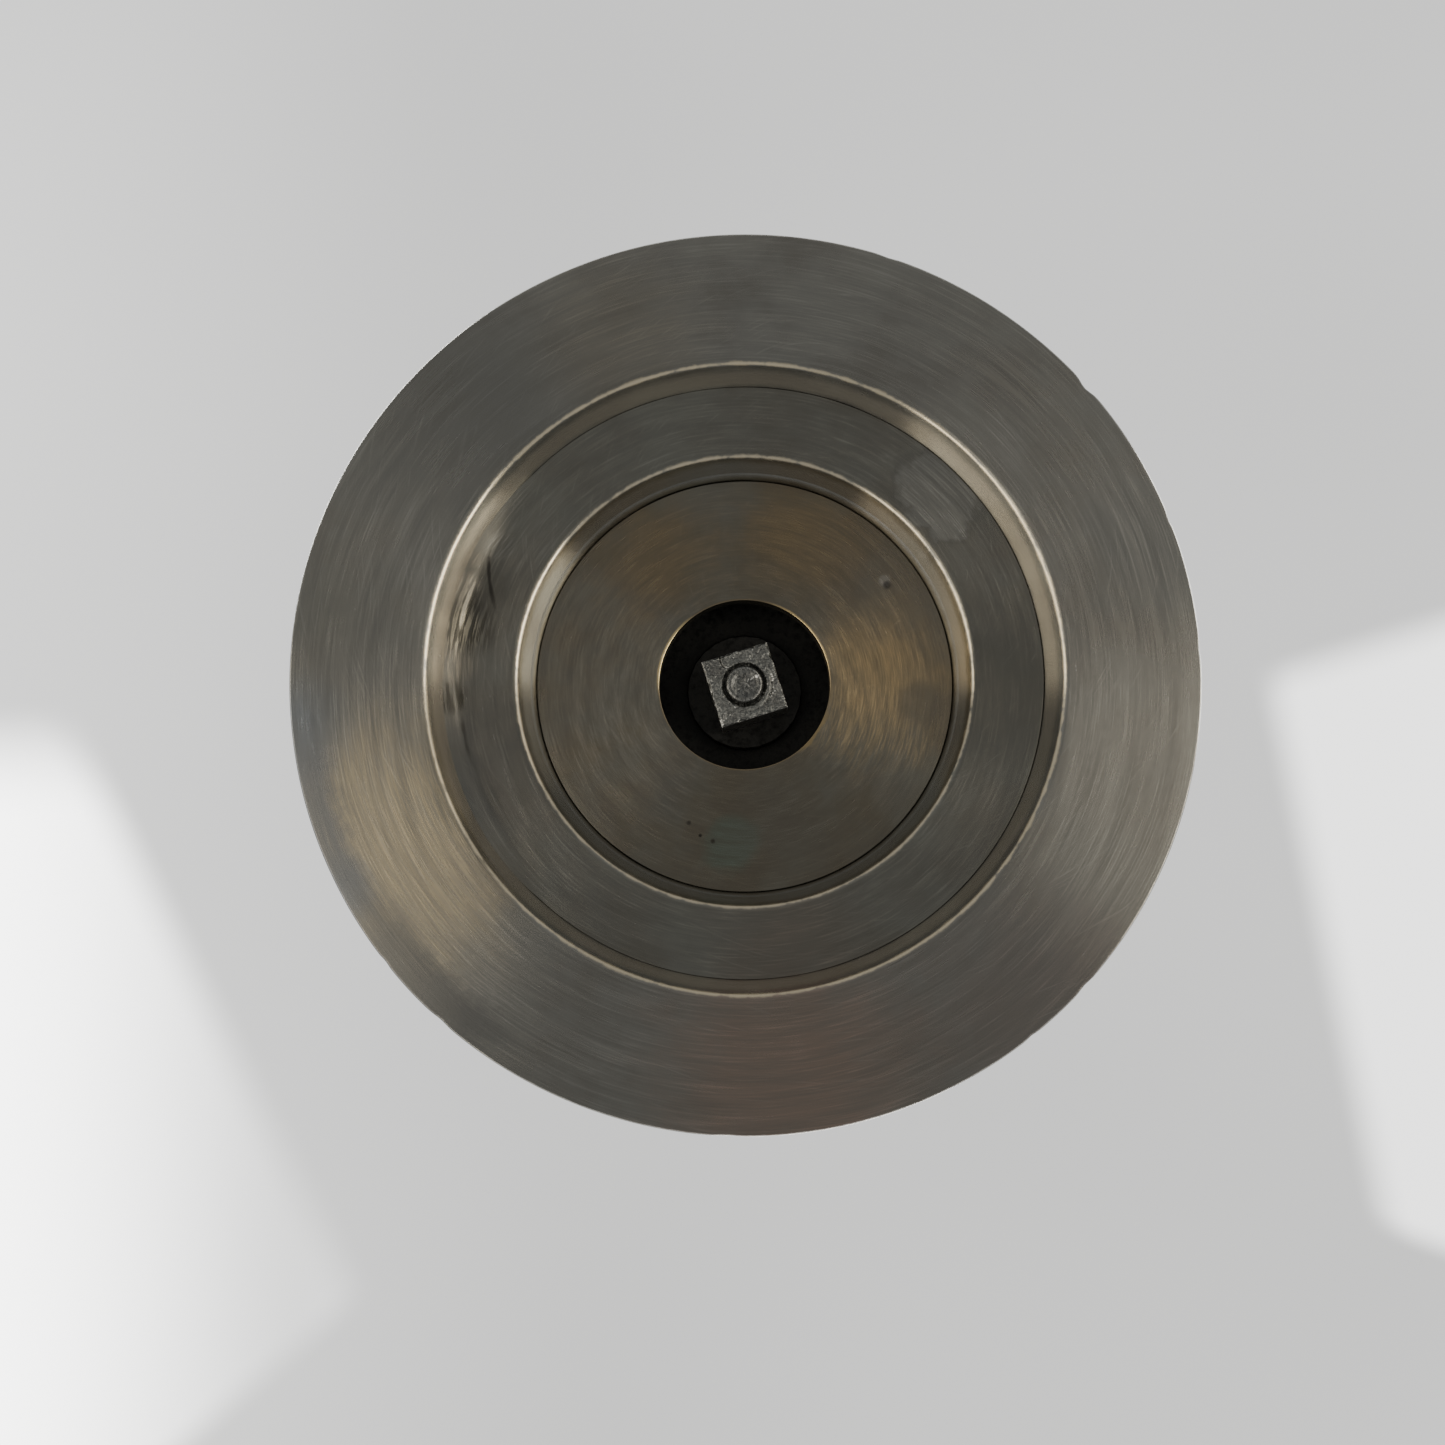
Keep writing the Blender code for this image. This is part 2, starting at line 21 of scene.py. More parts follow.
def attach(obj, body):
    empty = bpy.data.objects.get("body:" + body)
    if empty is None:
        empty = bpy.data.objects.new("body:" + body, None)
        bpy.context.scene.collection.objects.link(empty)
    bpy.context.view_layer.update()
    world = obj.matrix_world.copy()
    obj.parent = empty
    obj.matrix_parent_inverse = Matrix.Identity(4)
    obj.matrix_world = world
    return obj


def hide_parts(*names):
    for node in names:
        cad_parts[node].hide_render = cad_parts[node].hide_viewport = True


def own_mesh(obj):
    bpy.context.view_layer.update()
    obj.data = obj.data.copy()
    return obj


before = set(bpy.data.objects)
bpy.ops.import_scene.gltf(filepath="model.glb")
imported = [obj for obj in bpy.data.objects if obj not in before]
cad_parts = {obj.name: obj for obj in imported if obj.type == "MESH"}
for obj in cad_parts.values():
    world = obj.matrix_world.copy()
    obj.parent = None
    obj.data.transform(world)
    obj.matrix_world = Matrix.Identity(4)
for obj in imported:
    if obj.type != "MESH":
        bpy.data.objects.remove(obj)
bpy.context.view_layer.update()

MM = 0.001
LOG = logging.getLogger("pepper_mill")

Point = tuple[float, float]
Triple = tuple[float, float, float]
Colour = tuple[float, float, float]
ORIGIN = (0.0, 0.0, 0.0)


class Body(Enum):
    """The rigid bodies of the mill that pieces ride on."""

    BASE = "base"
    GRINDER = "grinder"
    WASHER = "turning_washer"
    HEAD = "head"
    KNOB = "knob"


class Slot(Enum):
    """The record's material slots."""

    PLATED = "plated_brass"
    RING = "ring_brass"
    OUTLET = "outlet_brass"
    BRASS = "bare_brass"
    STEEL = "steel"
    SPINDLE = "spindle_steel"
    BURR = "burr_steel"
    SPRING = "spring_steel"
    FIBRE = "fibre"


# ---------------------------------------------------------------- shader tools


class Graph:
    """Adds nodes to one node tree and joins them."""

    def __init__(self, tree: bpy.types.NodeTree) -> None:
        """Start with a tree that may already hold nodes."""
        self.tree = tree

    def node(self, kind: str, feeds: dict | None = None, **settings: object) -> bpy.types.Node:
        """Add one node.

        Args:
            kind: the node's type name.
            feeds: input name or number to a socket or a plain value.
            settings: properties of the node.

        Returns:
            The new node.
        """
        made = self.tree.nodes.new(kind)
        for key, value in settings.items():
            setattr(made, key, value)
        for key, value in (feeds or {}).items():
            self.feed(made.inputs[key], value)
        return made

    def feed(self, target: bpy.types.NodeSocket, value: object) -> None:
        """Join a socket to the target, or write a plain value on it."""
        if isinstance(value, bpy.types.NodeSocket):
            self.tree.links.new(value, target)
        else:
            target.default_value = value

    def math(self, operation: str, a: object, b: object = 0.0, clamp: bool = False) -> object:
        """Return the result of one Math node."""
        made = self.node("ShaderNodeMath", {0: a, 1: b}, operation=operation, use_clamp=clamp)
        return made.outputs[0]

    def times(self, value: object, *others: object) -> object:
        """Return a value multiplied by each of the others in turn."""
        for other in others:
            value = self.math("MULTIPLY", value, other)
        return value

    def plus(self, a: object, b: object) -> object:
        """Return a sum."""
        return self.math("ADD", a, b)

    def minus(self, a: object, b: object) -> object:
        """Return a difference."""
        return self.math("SUBTRACT", a, b)

    def over(self, a: object, b: object) -> object:
        """Return a quotient."""
        return self.math("DIVIDE", a, b)

    def smooth(self, value: object, low: object, high: object) -> object:
        """Return value eased from 0 at low to 1 at high."""
        made = self.node(
            "ShaderNodeMapRange",
            {"Value": value, "From Min": low, "From Max": high},
            interpolation_type="SMOOTHSTEP",
        )
        return made.outputs["Result"]

    def ranged(self, value: object, low: float, high: float) -> object:
        """Return a 0 to 1 value scaled between low and high."""
        made = self.node("ShaderNodeMapRange", {"Value": value, "To Min": low, "To Max": high})
        return made.outputs["Result"]

    def noise(
        self, vector: object, scale: object, detail: float = 2.0, rough: float = 0.5,
    ) -> object:
        """Return the value of a Noise texture."""
        made = self.node(
            "ShaderNodeTexNoise",
            {"Vector": vector, "Scale": scale, "Detail": detail, "Roughness": rough},
        )
        return made.outputs["Fac"]

    def split(self, vector: object) -> Sequence[object]:
        """Return the three parts of a vector."""
        return self.node("ShaderNodeSeparateXYZ", {0: vector}).outputs

    def join(self, x: object, y: object, z: object = 0.0) -> object:
        """Return a vector made of three values."""
        return self.node("ShaderNodeCombineXYZ", {0: x, 1: y, 2: z}).outputs[0]

    def vector(self, operation: str, a: object, b: object, output: int = 0) -> object:
        """Return the result of one Vector Math node."""
        made = self.node("ShaderNodeVectorMath", {0: a, 1: b}, operation=operation)
        return made.outputs[output]

    def length(self, vector: object) -> object:
        """Return the length of a vector."""
        return self.vector("LENGTH", vector, ORIGIN, 1)

    def scaled(self, vector: object, factor: float) -> object:
        """Return a vector times a plain number."""
        return self.vector("MULTIPLY", vector, (factor, factor, factor))

    def dimmed(self, colour: object, factor: object) -> object:
        """Return a colour times a value."""
        made = self.node("ShaderNodeVectorMath", {0: colour}, operation="SCALE")
        self.feed(made.inputs["Scale"], factor)
        return made.outputs[0]

    def shade(self, factor: object, colour: object, low: float, high: float) -> object:
        """Return a colour made darker or lighter by a 0 to 1 value."""
        return self.dimmed(colour, self.ranged(factor, low, high))

    def mix(self, factor: object, a: object, b: object) -> object:
        """Return a colour between a and b."""
        return self._mixed("RGBA", {0: factor, 6: full(a), 7: full(b)}, 2)

    def blend(self, factor: object, a: object, b: object) -> object:
        """Return a value between a and b."""
        return self._mixed("FLOAT", {0: factor, 2: a, 3: b}, 0)

    def _mixed(self, data_type: str, feeds: dict, output: int) -> object:
        """Return an output of one Mix node."""
        made = self.node("ShaderNodeMix", feeds, data_type=data_type, clamp_factor=True)
        return made.outputs[output]

    def worn_off(self, away: object, full_until: float, limit: object) -> object:
        """Return 1 up to a share of the limit, easing to 0 at the limit."""
        return self.minus(1.0, self.smooth(away, self.times(limit, full_until), limit))


def full(colour: object) -> object:
    """Give a plain colour its alpha, and leave a socket as it is."""
    if isinstance(colour, tuple) and len(colour) == 3:
        return (*colour, 1.0)
    return colour


def new_material(name: str) -> tuple[bpy.types.Material, Graph, bpy.types.Node]:
    """Return a new material, its graph and its Principled shader."""
    material = bpy.data.materials.new(name)
    material.use_nodes = True
    return material, Graph(material.node_tree), material.node_tree.nodes["Principled BSDF"]


class Effects:
    """The node groups that the finishes share, each built once."""

    def __init__(self) -> None:
        """Build every group."""
        self.grain = self._group(
            "turned_grain", "Grain", self._grain, Centre=ORIGIN, Lines=4.0, Arc=6.0, Drift=0.6,
        )
        self.scratches = self._group(
            "scratches", "Mask", self._scratches, Angle=0.0, Length=2.0, Width=0.03, Spacing=0.9,
        )
        self.specks = self._group(
            "specks", "Mask", self._specks, Spacing=4.0, Size=0.1, Share=0.4,
        )
        self.edge = self._group(
            "edge_wear_and_shade", "Mask", self._edge, Centre=ORIGIN, Radius=20.0, Height=0.0, Width=0.5,
            Breakup=0.5,
        )
        self.stain = self._group(
            "stain", "Mask", self._stain, Scale=0.12, Level=0.5, Softness=0.15,
        )
        self.spot = self._group(
            "spot", "Mask", self._spot, Centre=ORIGIN, Size=5.0, Softness=0.6, Breakup=0.5,
        )

    def use(
        self, graph: Graph, where: object, group: bpy.types.NodeTree, **feeds: object,
    ) -> object:
        """Place a group in a material.

        Args:
            graph: the material's graph.
            where: the place on the surface, in metres.
            group: one of the groups here.
            feeds: the group's other inputs by name.

        Returns:
            The group's output.
        """
        made = graph.node("ShaderNodeGroup", {"Vector": where, **feeds}, node_tree=group)
        return made.outputs[0]

    def _group(
        self, name: str, output: str, build: Callable[[Graph, object, dict], object],
        **inputs: object,
    ) -> bpy.types.NodeTree:
        """Make one group with a place, some named inputs and one value output.

        Args:
            name: the group's name.
            output: the name of its output.
            build: adds the nodes, given the graph, the place in millimetres and the
                input sockets by name, and returns the value.
            inputs: the first value of each input after the place.

        Returns:
            The group.
        """
        group = bpy.data.node_groups.new(name, "ShaderNodeTree")
        for key, value in {"Vector": ORIGIN, **inputs}.items():
            kind = "NodeSocketVector" if isinstance(value, tuple) else "NodeSocketFloat"
            socket = group.interface.new_socket(key, in_out="INPUT", socket_type=kind)
            socket.default_value = value
        group.interface.new_socket(output, in_out="OUTPUT", socket_type="NodeSocketFloat")
        graph = Graph(group)
        given = graph.node("NodeGroupInput").outputs
        place = graph.scaled(given["Vector"], 1.0 / MM)
        graph.node("NodeGroupOutput", {0: build(graph, place, given)})
        return group

    def _grain(self, graph: Graph, place: object, given: dict) -> object:
        """Fine lines that follow the turning, long around the axis and narrow across it."""
        place = graph.vector("SUBTRACT", place, given["Centre"])
        x, y, z = graph.split(place)
        flat = graph.join(x, y)
        around = graph.split(graph.vector("NORMALIZE", flat, ORIGIN))
        wander = graph.minus(graph.noise(place, 0.09, 1.0), 0.5)
        across = graph.plus(graph.length(flat), graph.times(wander, given["Drift"]))
        across = graph.plus(across, graph.times(z, 0.83))
        line = graph.join(
            graph.times(across, given["Lines"]),
            graph.times(around[0], given["Arc"]),
            graph.times(around[1], given["Arc"]),
        )
        return graph.noise(line, 1.0, 3.0, 0.62)

    def _scratches(self, graph: Graph, place: object, given: dict) -> object:
        """Separate thin scratches that run in one direction, slightly bent."""
        turned_place = graph.node(
            "ShaderNodeVectorRotate", {"Vector": place}, rotation_type="Z_AXIS",
        )
        graph.feed(turned_place.inputs["Angle"], given["Angle"])
        x, y, z = graph.split(turned_place.outputs[0])
        bend = graph.times(graph.noise(place, 0.05, 1.0), 5.0)
        across = graph.over(graph.plus(x, bend), given["Spacing"])
        width = graph.over(given["Width"], given["Spacing"])
        along = graph.times(y, graph.over(width, given["Length"]))
        cells = graph.node(
            "ShaderNodeTexVoronoi", {"Vector": graph.join(across, along, z), "Scale": 1.0},
        )
        return graph.worn_off(cells.outputs["Distance"], 0.4, width)

    def _specks(self, graph: Graph, place: object, given: dict) -> object:
        """Small dots scattered at random, such as dust or pits."""
        ragged = graph.node("ShaderNodeTexNoise", {"Vector": place, "Scale": 5.0, "Detail": 1.0})
        moved = graph.vector("ADD", place, graph.scaled(ragged.outputs["Color"], 0.12))
        spread = graph.over(1.0, given["Spacing"])
        cells = graph.node("ShaderNodeTexVoronoi", {"Vector": moved, "Scale": spread})
        chance = graph.split(cells.outputs["Color"])
        size = graph.times(given["Size"], spread, graph.ranged(chance[1], 0.5, 1.3))
        dot = graph.worn_off(cells.outputs["Distance"], 0.6, size)
        return graph.times(dot, graph.math("LESS_THAN", chance[0], given["Share"]))

    def _edge(self, graph: Graph, place: object, given: dict) -> object:
        """A band around one turned edge, given by its radius and its height, broken up."""
        place = graph.vector("SUBTRACT", place, given["Centre"])
        x, y, z = graph.split(place)
        away = graph.length(graph.join(
            graph.minus(graph.length(graph.join(x, y)), given["Radius"]),
            graph.minus(z, given["Height"]),
        ))
        ragged = graph.minus(graph.noise(place, 0.7, 4.0, 0.65), 0.5)
        ragged = graph.times(ragged, graph.times(given["Breakup"], 3.0))
        return graph.worn_off(away, 0.35, graph.times(given["Width"], graph.plus(1.0, ragged)))

    def _stain(self, graph: Graph, place: object, given: dict) -> object:
        """Cloudy patches of tarnish with soft or hard borders."""
        cloud = graph.noise(place, given["Scale"], 5.0, 0.6)
        level, soft = given["Level"], given["Softness"]
        return graph.smooth(cloud, graph.minus(level, soft), graph.plus(level, soft))

    def _spot(self, graph: Graph, place: object, given: dict) -> object:
        """One soft patch around a given point."""
        away = graph.vector("DISTANCE", place, given["Centre"], 1)
        ragged = graph.minus(graph.noise(place, 0.35, 4.0, 0.6), 0.5)
        share = graph.over(away, given["Size"])
        share = graph.plus(share, graph.times(ragged, given["Breakup"]))
        return graph.minus(1.0, graph.smooth(share, graph.minus(1.0, given["Softness"]), 1.0))


# -------------------------------------------------------------------- finishes


@dataclass(frozen=True)
class Patch:
    """A soft patch of another colour around a point."""

    centre: Triple
    size: float
    colour: Colour
    strength: float = 1.0
    softness: float = 0.8
    breakup: float = 0.5
    streaky: float = 0.0


@dataclass(frozen=True)
class WearAndShadeBand:
    """A turned edge where the surface is rubbed through to brighter metal."""

    radius: float
    height: float
    width: float
    colour: Colour
    strength: float = 0.8
    breakup: float = 0.5


@dataclass(frozen=True)
class Mark:
    """A thin curved mark: part of a circle, limited to a patch around a point."""

    circle: Triple
    radius: float
    width: float
    around: Triple
    size: float
    colour: Colour
    strength: float = 0.8
    breakup: float = 0.8


@dataclass(frozen=True)
class Lay:
    """One set of lines on turned metal, which curve around their own centre.

    Its fineness is a share of the finish's own, and its drift is how far lines wander.
    """

    centre: Triple
    fineness: float
    arc: float
    drift: float


@dataclass(frozen=True)
class Rake:
    """One direction of stray scratches, with their length and the room between them."""

    angle: float
    length: float
    spacing: float


TURNING_LINES = Lay(ORIGIN, 1.0, 5.0, 0.3)
RUBBED_LINES = Lay((6.0, -9.0, 0.0), 0.8, 5.5, 2.5)
BROAD_LINES = Lay((-1.0, 1.5, 0.0), 0.16, 2.4, 1.0)
RAKED_LINES = Lay((-4.0, 0.0, 0.0), 0.85, 6.0, 1.2)
RAKES = (Rake(0.35, 2.2, 2.6), Rake(1.45, 1.4, 3.4), Rake(2.5, 0.8, 2.4))
BARE_SCRATCH = (0.75, 0.72, 0.66)
STEEL_SCRATCH = (0.7, 0.7, 0.68)
PIT = (0.02, 0.018, 0.015)
POLISHED = 0.2


@dataclass(frozen=True)
class TurnedMetal:
    """Tarnished metal with turning lines, rubbed arcs, scratches, worn edges and patches."""

    name: str
    colour: Colour
    tarnish: Colour
    roughness: tuple[float, float] = (0.3, 0.45)
    anisotropy: float = 0.6
    lines: float = 4.0
    streak: float = 0.12
    hair: float = 0.28
    bump: float = 0.12
    bump_depth: float = 0.05
    scratch: float = 0.5
    tarnish_level: float = 0.55
    patches: tuple[Patch, ...] = ()
    edges: tuple[WearAndShadeBand, ...] = ()
    lines_drawn: tuple[Mark, ...] = ()

    def build(self, effects: Effects) -> bpy.types.Material:
        """Make the material.

        Args:
            effects: the shared node groups.

        Returns:
            The finished material.
        """
        material, graph, shader = new_material(self.name)
        where = graph.node("ShaderNodeTexCoord").outputs["Object"]
        use = partial(effects.use, graph, where)
        fine, rubbed, broad, raked = (
            use(effects.grain, Centre=lay.centre, Lines=self.lines * lay.fineness, Arc=lay.arc,
                Drift=lay.drift)
            for lay in (TURNING_LINES, RUBBED_LINES, BROAD_LINES, RAKED_LINES)
        )
        hairs = graph.math(
            "MAXIMUM", graph.smooth(fine, 0.52, 0.8), graph.smooth(rubbed, 0.56, 0.8),
        )
        streaks = graph.blend(0.5, graph.smooth(fine, 0.3, 0.7), graph.smooth(broad, 0.3, 0.7))
        cloud = use(effects.stain, Level=self.tarnish_level, Softness=0.16)
        colour = graph.mix(cloud, self.colour, self.tarnish)
        colour = self._patched(graph, effects, use, colour, streaks, raked)
        colour = graph.shade(streaks, colour, 1.0 - self.streak, 1.0 + self.streak)
        colour = graph.shade(hairs, colour, 1.0, 1.0 + self.hair)
        colour, wear_and_shade = self._wear_and_shade_bands(graph, effects, use, colour)
        marks = 0.0
        for rake in RAKES:
            mask = use(effects.scratches, Angle=rake.angle, Length=rake.length,
                       Spacing=rake.spacing, Width=0.035)
            marks = graph.math("MAXIMUM", marks, mask)
        marks = graph.times(marks, self.scratch)
        pits = use(effects.specks, Spacing=5.0, Size=0.13, Share=0.25)
        colour = graph.mix(graph.times(marks, 0.45), colour, BARE_SCRATCH)
        colour = graph.mix(graph.times(pits, 0.7), colour, PIT)
        rough = graph.blend(streaks, *self.roughness)
        rough = graph.blend(graph.times(wear_and_shade, 0.7), rough, POLISHED)
        rough = graph.math("ADD", rough, graph.times(cloud, 0.06), clamp=True)
        height = graph.minus(graph.minus(graph.blend(0.5, streaks, hairs), marks), pits)
        bump = graph.node("ShaderNodeBump", {
            "Height": height, "Strength": self.bump, "Distance": self.bump_depth * MM,
        })
        tangent = graph.node("ShaderNodeTangent", direction_type="RADIAL", axis="Z")
        graph.feed(shader.inputs["Base Color"], colour)
        graph.feed(shader.inputs["Roughness"], rough)
        graph.feed(shader.inputs["Normal"], bump.outputs[0])
        graph.feed(shader.inputs["Tangent"], tangent.outputs[0])
        shader.inputs["Metallic"].default_value = 1.0
        shader.inputs["Anisotropic"].default_value = self.anisotropy
        shader.inputs["Anisotropic Rotation"].default_value = 0.25
        return material

    def _patched(
        self, graph: Graph, effects: Effects, use: Callable[..., object], colour: object,
        streaks: object, raked: object,
    ) -> object:
        """Lay the patches over the colour.

        Args:
            graph: the material's graph.
            effects: the shared node groups.
            use: places one of the groups on the surface.
            colour: the colour so far.
            streaks: the turning lines that thin a patch out.
            raked: the lines that cut a streaky patch.

        Returns:
            The new colour.
        """
        for patch in self.patches:
            mask = use(effects.spot, Centre=patch.centre, Size=patch.size,
                       Softness=patch.softness, Breakup=patch.breakup)
            share = graph.times(mask, graph.ranged(streaks, 0.6, 1.25))
            if patch.streaky:
                ends = (0.56, 0.44) if patch.streaky < 0.0 else (0.44, 0.56)
                cut = graph.blend(abs(patch.streaky), 1.0, graph.smooth(raked, *ends))
                share = graph.times(share, cut)
            colour = graph.mix(graph.times(share, patch.strength), colour, patch.colour)
        return colour

    def _wear_and_shade_bands(
        self, graph: Graph, effects: Effects, use: Callable[..., object], colour: object,
    ) -> tuple[object, object]:
        """Lay the worn edges and the drawn marks over the colour.

        Args:
            graph: the material's graph.
            effects: the shared node groups.
            use: places one of the groups on the surface.
            colour: the colour so far.

        Returns:
            The new colour, and the mask of the worn edges.
        """
        wear_and_shade = 0.0
        for edge in self.edges:
            mask = use(effects.edge, Radius=edge.radius, Height=edge.height, Width=edge.width,
                       Breakup=edge.breakup)
            mask = graph.times(mask, edge.strength)
            colour = graph.mix(mask, colour, edge.colour)
            wear_and_shade = graph.math("MAXIMUM", wear_and_shade, mask)
        for drawn in self.lines_drawn:
            line = use(effects.edge, Centre=drawn.circle, Radius=drawn.radius,
                       Width=drawn.width, Breakup=drawn.breakup)
            part = use(effects.spot, Centre=drawn.around, Size=drawn.size, Breakup=0.3)
            line = graph.times(line, part, drawn.strength)
            colour = graph.mix(line, colour, drawn.colour)
        return colour, wear_and_shade


@dataclass(frozen=True)
class CutSteel:
    """Plain dull steel with a fine cut grain, dark in its dips and bright on its worn edges."""

    name: str
    colour: Colour
    dark: Colour
    roughness: tuple[float, float] = (0.35, 0.6)
    grain: float = 3.0
    bump: float = 0.3
    bump_depth: float = 0.06
    metallic: float = 1.0
    contrast: float = 0.5
    # bright: the colour of the convex edges, worn metal with a painted highlight
    bright: Colour = (0.6, 0.6, 0.58)

    def build(self, effects: Effects) -> bpy.types.Material:
        """Make the material.

        Args:
            effects: the shared node groups.

        Returns:
            The finished material.
        """
        material, graph, shader = new_material(self.name)
        where = graph.node("ShaderNodeTexCoord").outputs["Object"]
        use = partial(effects.use, graph, where)
        fine = graph.noise(graph.scaled(where, 1.0 / MM), self.grain, 5.0, 0.7)
        coarse = graph.smooth(fine, 0.32, 0.68)
        cloud = use(effects.stain, Scale=0.5, Level=0.56, Softness=0.2)
        colour = graph.mix(cloud, self.colour, self.dark)
        colour = graph.shade(coarse, colour, 1.0 - self.contrast, 1.0 + self.contrast)
        convex = graph.node("ShaderNodeNewGeometry").outputs["Pointiness"]
        # Painted shade: the concave dips are darkened, down to 0.3 of the colour.
        colour = graph.shade(graph.smooth(convex, 0.42, 0.5), colour, 0.3, 1.0)
        # Wear and a painted highlight: the convex edges take the bright colour.
        wear_and_glint = graph.times(graph.smooth(convex, 0.515, 0.58), coarse)
        colour = graph.mix(wear_and_glint, colour, self.bright)
        marks = use(effects.scratches, Angle=0.9, Length=0.6, Spacing=0.8, Width=0.02)
        colour = graph.mix(graph.times(marks, 0.3), colour, STEEL_SCRATCH)
        bump = graph.node("ShaderNodeBump", {
            "Height": fine, "Strength": self.bump, "Distance": self.bump_depth * MM,
        })
        graph.feed(shader.inputs["Base Color"], colour)
        graph.feed(shader.inputs["Roughness"], graph.blend(coarse, *self.roughness))
        graph.feed(shader.inputs["Normal"], bump.outputs[0])
        shader.inputs["Metallic"].default_value = self.metallic
        return material


# ------------------------------------------------------------------ mesh tools


@dataclass(frozen=True)
class Corner:
    """A point of a turned outline, rounded over the given distance to each side."""

    radius: float
    height: float
    ease: float = 0.0


def eased(corners: Sequence[Corner], steps: int = 6) -> list[Point]:
    """Round the corners of a closed outline.

    Args:
        corners: the outline's points in order.
        steps: how many pieces a rounded corner has.

    Returns:
        The outline as (radius, height) points.
    """
    points: list[Point] = []
    count = len(corners)
    for i, corner in enumerate(corners):
        here = Vector((corner.radius, corner.height))
        if corner.ease == 0.0:
            points.append((here.x, here.y))
            continue
        before = corners[i - 1]
        after = corners[(i + 1) % count]
        start = here + (Vector((before.radius, before.height)) - here).normalized() * corner.ease
        end = here + (Vector((after.radius, after.height)) - here).normalized() * corner.ease
        for step in range(steps + 1):
            share = step / steps
            spot = start.lerp(here, share).lerp(here.lerp(end, share), share)
            points.append((spot.x, spot.y))
    return points


def arc(centre: Point, radii: Point, start: float, end: float, steps: int) -> list[Corner]:
    """Return the points of an ellipse arc, with its angles in degrees."""
    corners = []
    for step in range(steps + 1):
        angle = math.radians(start + (end - start) * step / steps)
        corners.append(Corner(
            centre[0] + radii[0] * math.cos(angle), centre[1] + radii[1] * math.sin(angle),
        ))
    return corners


def skinned(name: str, rings: Sequence[Sequence[Vector]], closed: bool) -> bpy.types.Object:
    """Skin rings of points in millimetres.

    Args:
        name: the piece's name.
        rings: rings with the same number of points, in order along the skin.
        closed: join the last ring to the first, or else cap both ends.

    Returns:
        The new object, in the scene.
    """
    count = len(rings[0])
    points = [tuple(point * MM) for ring in rings for point in ring]
    faces: list[tuple[int, ...]] = []
    pairs = list(range(len(rings) - 1)) + ([len(rings) - 1] if closed else [])
    for row in pairs:
        low = row * count
        high = ((row + 1) % len(rings)) * count
        for i in range(count):
            j = (i + 1) % count
            faces.append((low + i, low + j, high + j, high + i))
    if not closed:
        faces.append(tuple(reversed(range(count))))
        last = (len(rings) - 1) * count
        faces.append(tuple(range(last, last + count)))
    mesh = bpy.data.meshes.new(name)
    mesh.from_pydata(points, [], faces)
    mesh.validate()
    face_outwards(mesh)
    return placed(name, mesh)


def placed(name: str, data: bpy.types.ID) -> bpy.types.Object:
    """Put a new object into the scene."""
    made = bpy.data.objects.new(name, data)
    bpy.context.scene.collection.objects.link(made)
    return made


def face_outwards(mesh: bpy.types.Mesh, sharp: float = 40.0) -> None:
    """Point the faces outwards, shade the mesh smooth and keep its sharp edges."""
    work = bmesh.new()
    work.from_mesh(mesh)
    bmesh.ops.recalc_face_normals(work, faces=work.faces)
    work.to_mesh(mesh)
    work.free()
    mesh.shade_smooth()
    mesh.set_sharp_from_angle(angle=math.radians(sharp))


def turned(name: str, outline: Sequence[Point], segments: int = 256) -> bpy.types.Object:
    """Turn a closed (radius, height) outline about the axis."""
    rings = [round_ring(radius, height, segments) for radius, height in outline]
    return skinned(name, rings, closed=True)


def flat_washer(name: str, bore: float, rim: float, low: float, high: float) -> bpy.types.Object:
    """Turn a flat washer with an eased rim."""
    return turned(name, eased([
        Corner(bore, low), Corner(rim, low, 0.1), Corner(rim, high, 0.1), Corner(bore, high),
    ]))


def round_ring(radius: float, height: float, count: int) -> list[Vector]:
    """Return a level round ring."""
    return polar_ring(lambda angle: radius, height, count)


def polar_ring(radius_at: Callable[[float], float], height: float, count: int) -> list[Vector]:
    """Return a level ring whose radius is a function of the angle."""
    ring = []
    for i in range(count):
        angle = math.tau * i / count
        radius = radius_at(angle)
        ring.append(Vector((radius * math.cos(angle), radius * math.sin(angle), height)))
    return ring


def mapped(made: bpy.types.Object, move: Callable[[Vector], Vector]) -> None:
    """Move every vertex of a piece by a function of its place in millimetres."""
    for vertex in made.data.vertices:
        vertex.co = move(vertex.co / MM) * MM
    made.data.update()


class Workshop:
    """Dresses pieces and puts them on their bodies."""

    def __init__(self, effects: Effects) -> None:
        """Keep the shared effects and the finishes made so far."""
        self.effects = effects
        self.made: dict[str, bpy.types.Material] = {}

    def finish(self, finish: TurnedMetal | CutSteel) -> bpy.types.Material:
        """Return the material of a finish, built the first time."""
        if finish.name not in self.made:
            self.made[finish.name] = finish.build(self.effects)
        return self.made[finish.name]

    def fit(
        self, piece: bpy.types.Object, finish: TurnedMetal | CutSteel, body: Body, slot: Slot,
        *nodes: str,
    ) -> bpy.types.Object:
        """Dress a new piece that stands for CAD nodes.

        Args:
            piece: the new piece, in place.
            finish: what its surface looks like.
            body: the rigid body it rides on.
            slot: the record's material slot.
            nodes: the CAD nodes it stands for.

        Returns:
            The same piece.
        """
        piece.data.materials.clear()
        piece.data.materials.append(self.finish(finish))
        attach(piece, body.value)
        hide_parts(*nodes)
        LOG.info("%s: %d faces, rides on %s", piece.name, len(piece.data.polygons), body.value)
        return piece

    def dress(self, finish: TurnedMetal | CutSteel, *nodes: str) -> None:
        """Give CAD nodes that stay a finish."""
        for node in nodes:
            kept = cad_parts[node]
            kept.data.materials.clear()
            kept.data.materials.append(self.finish(finish))
            LOG.info("%s: kept, dressed in %s", node, finish.name)


# ---------------------------------------------------------------- the finishes

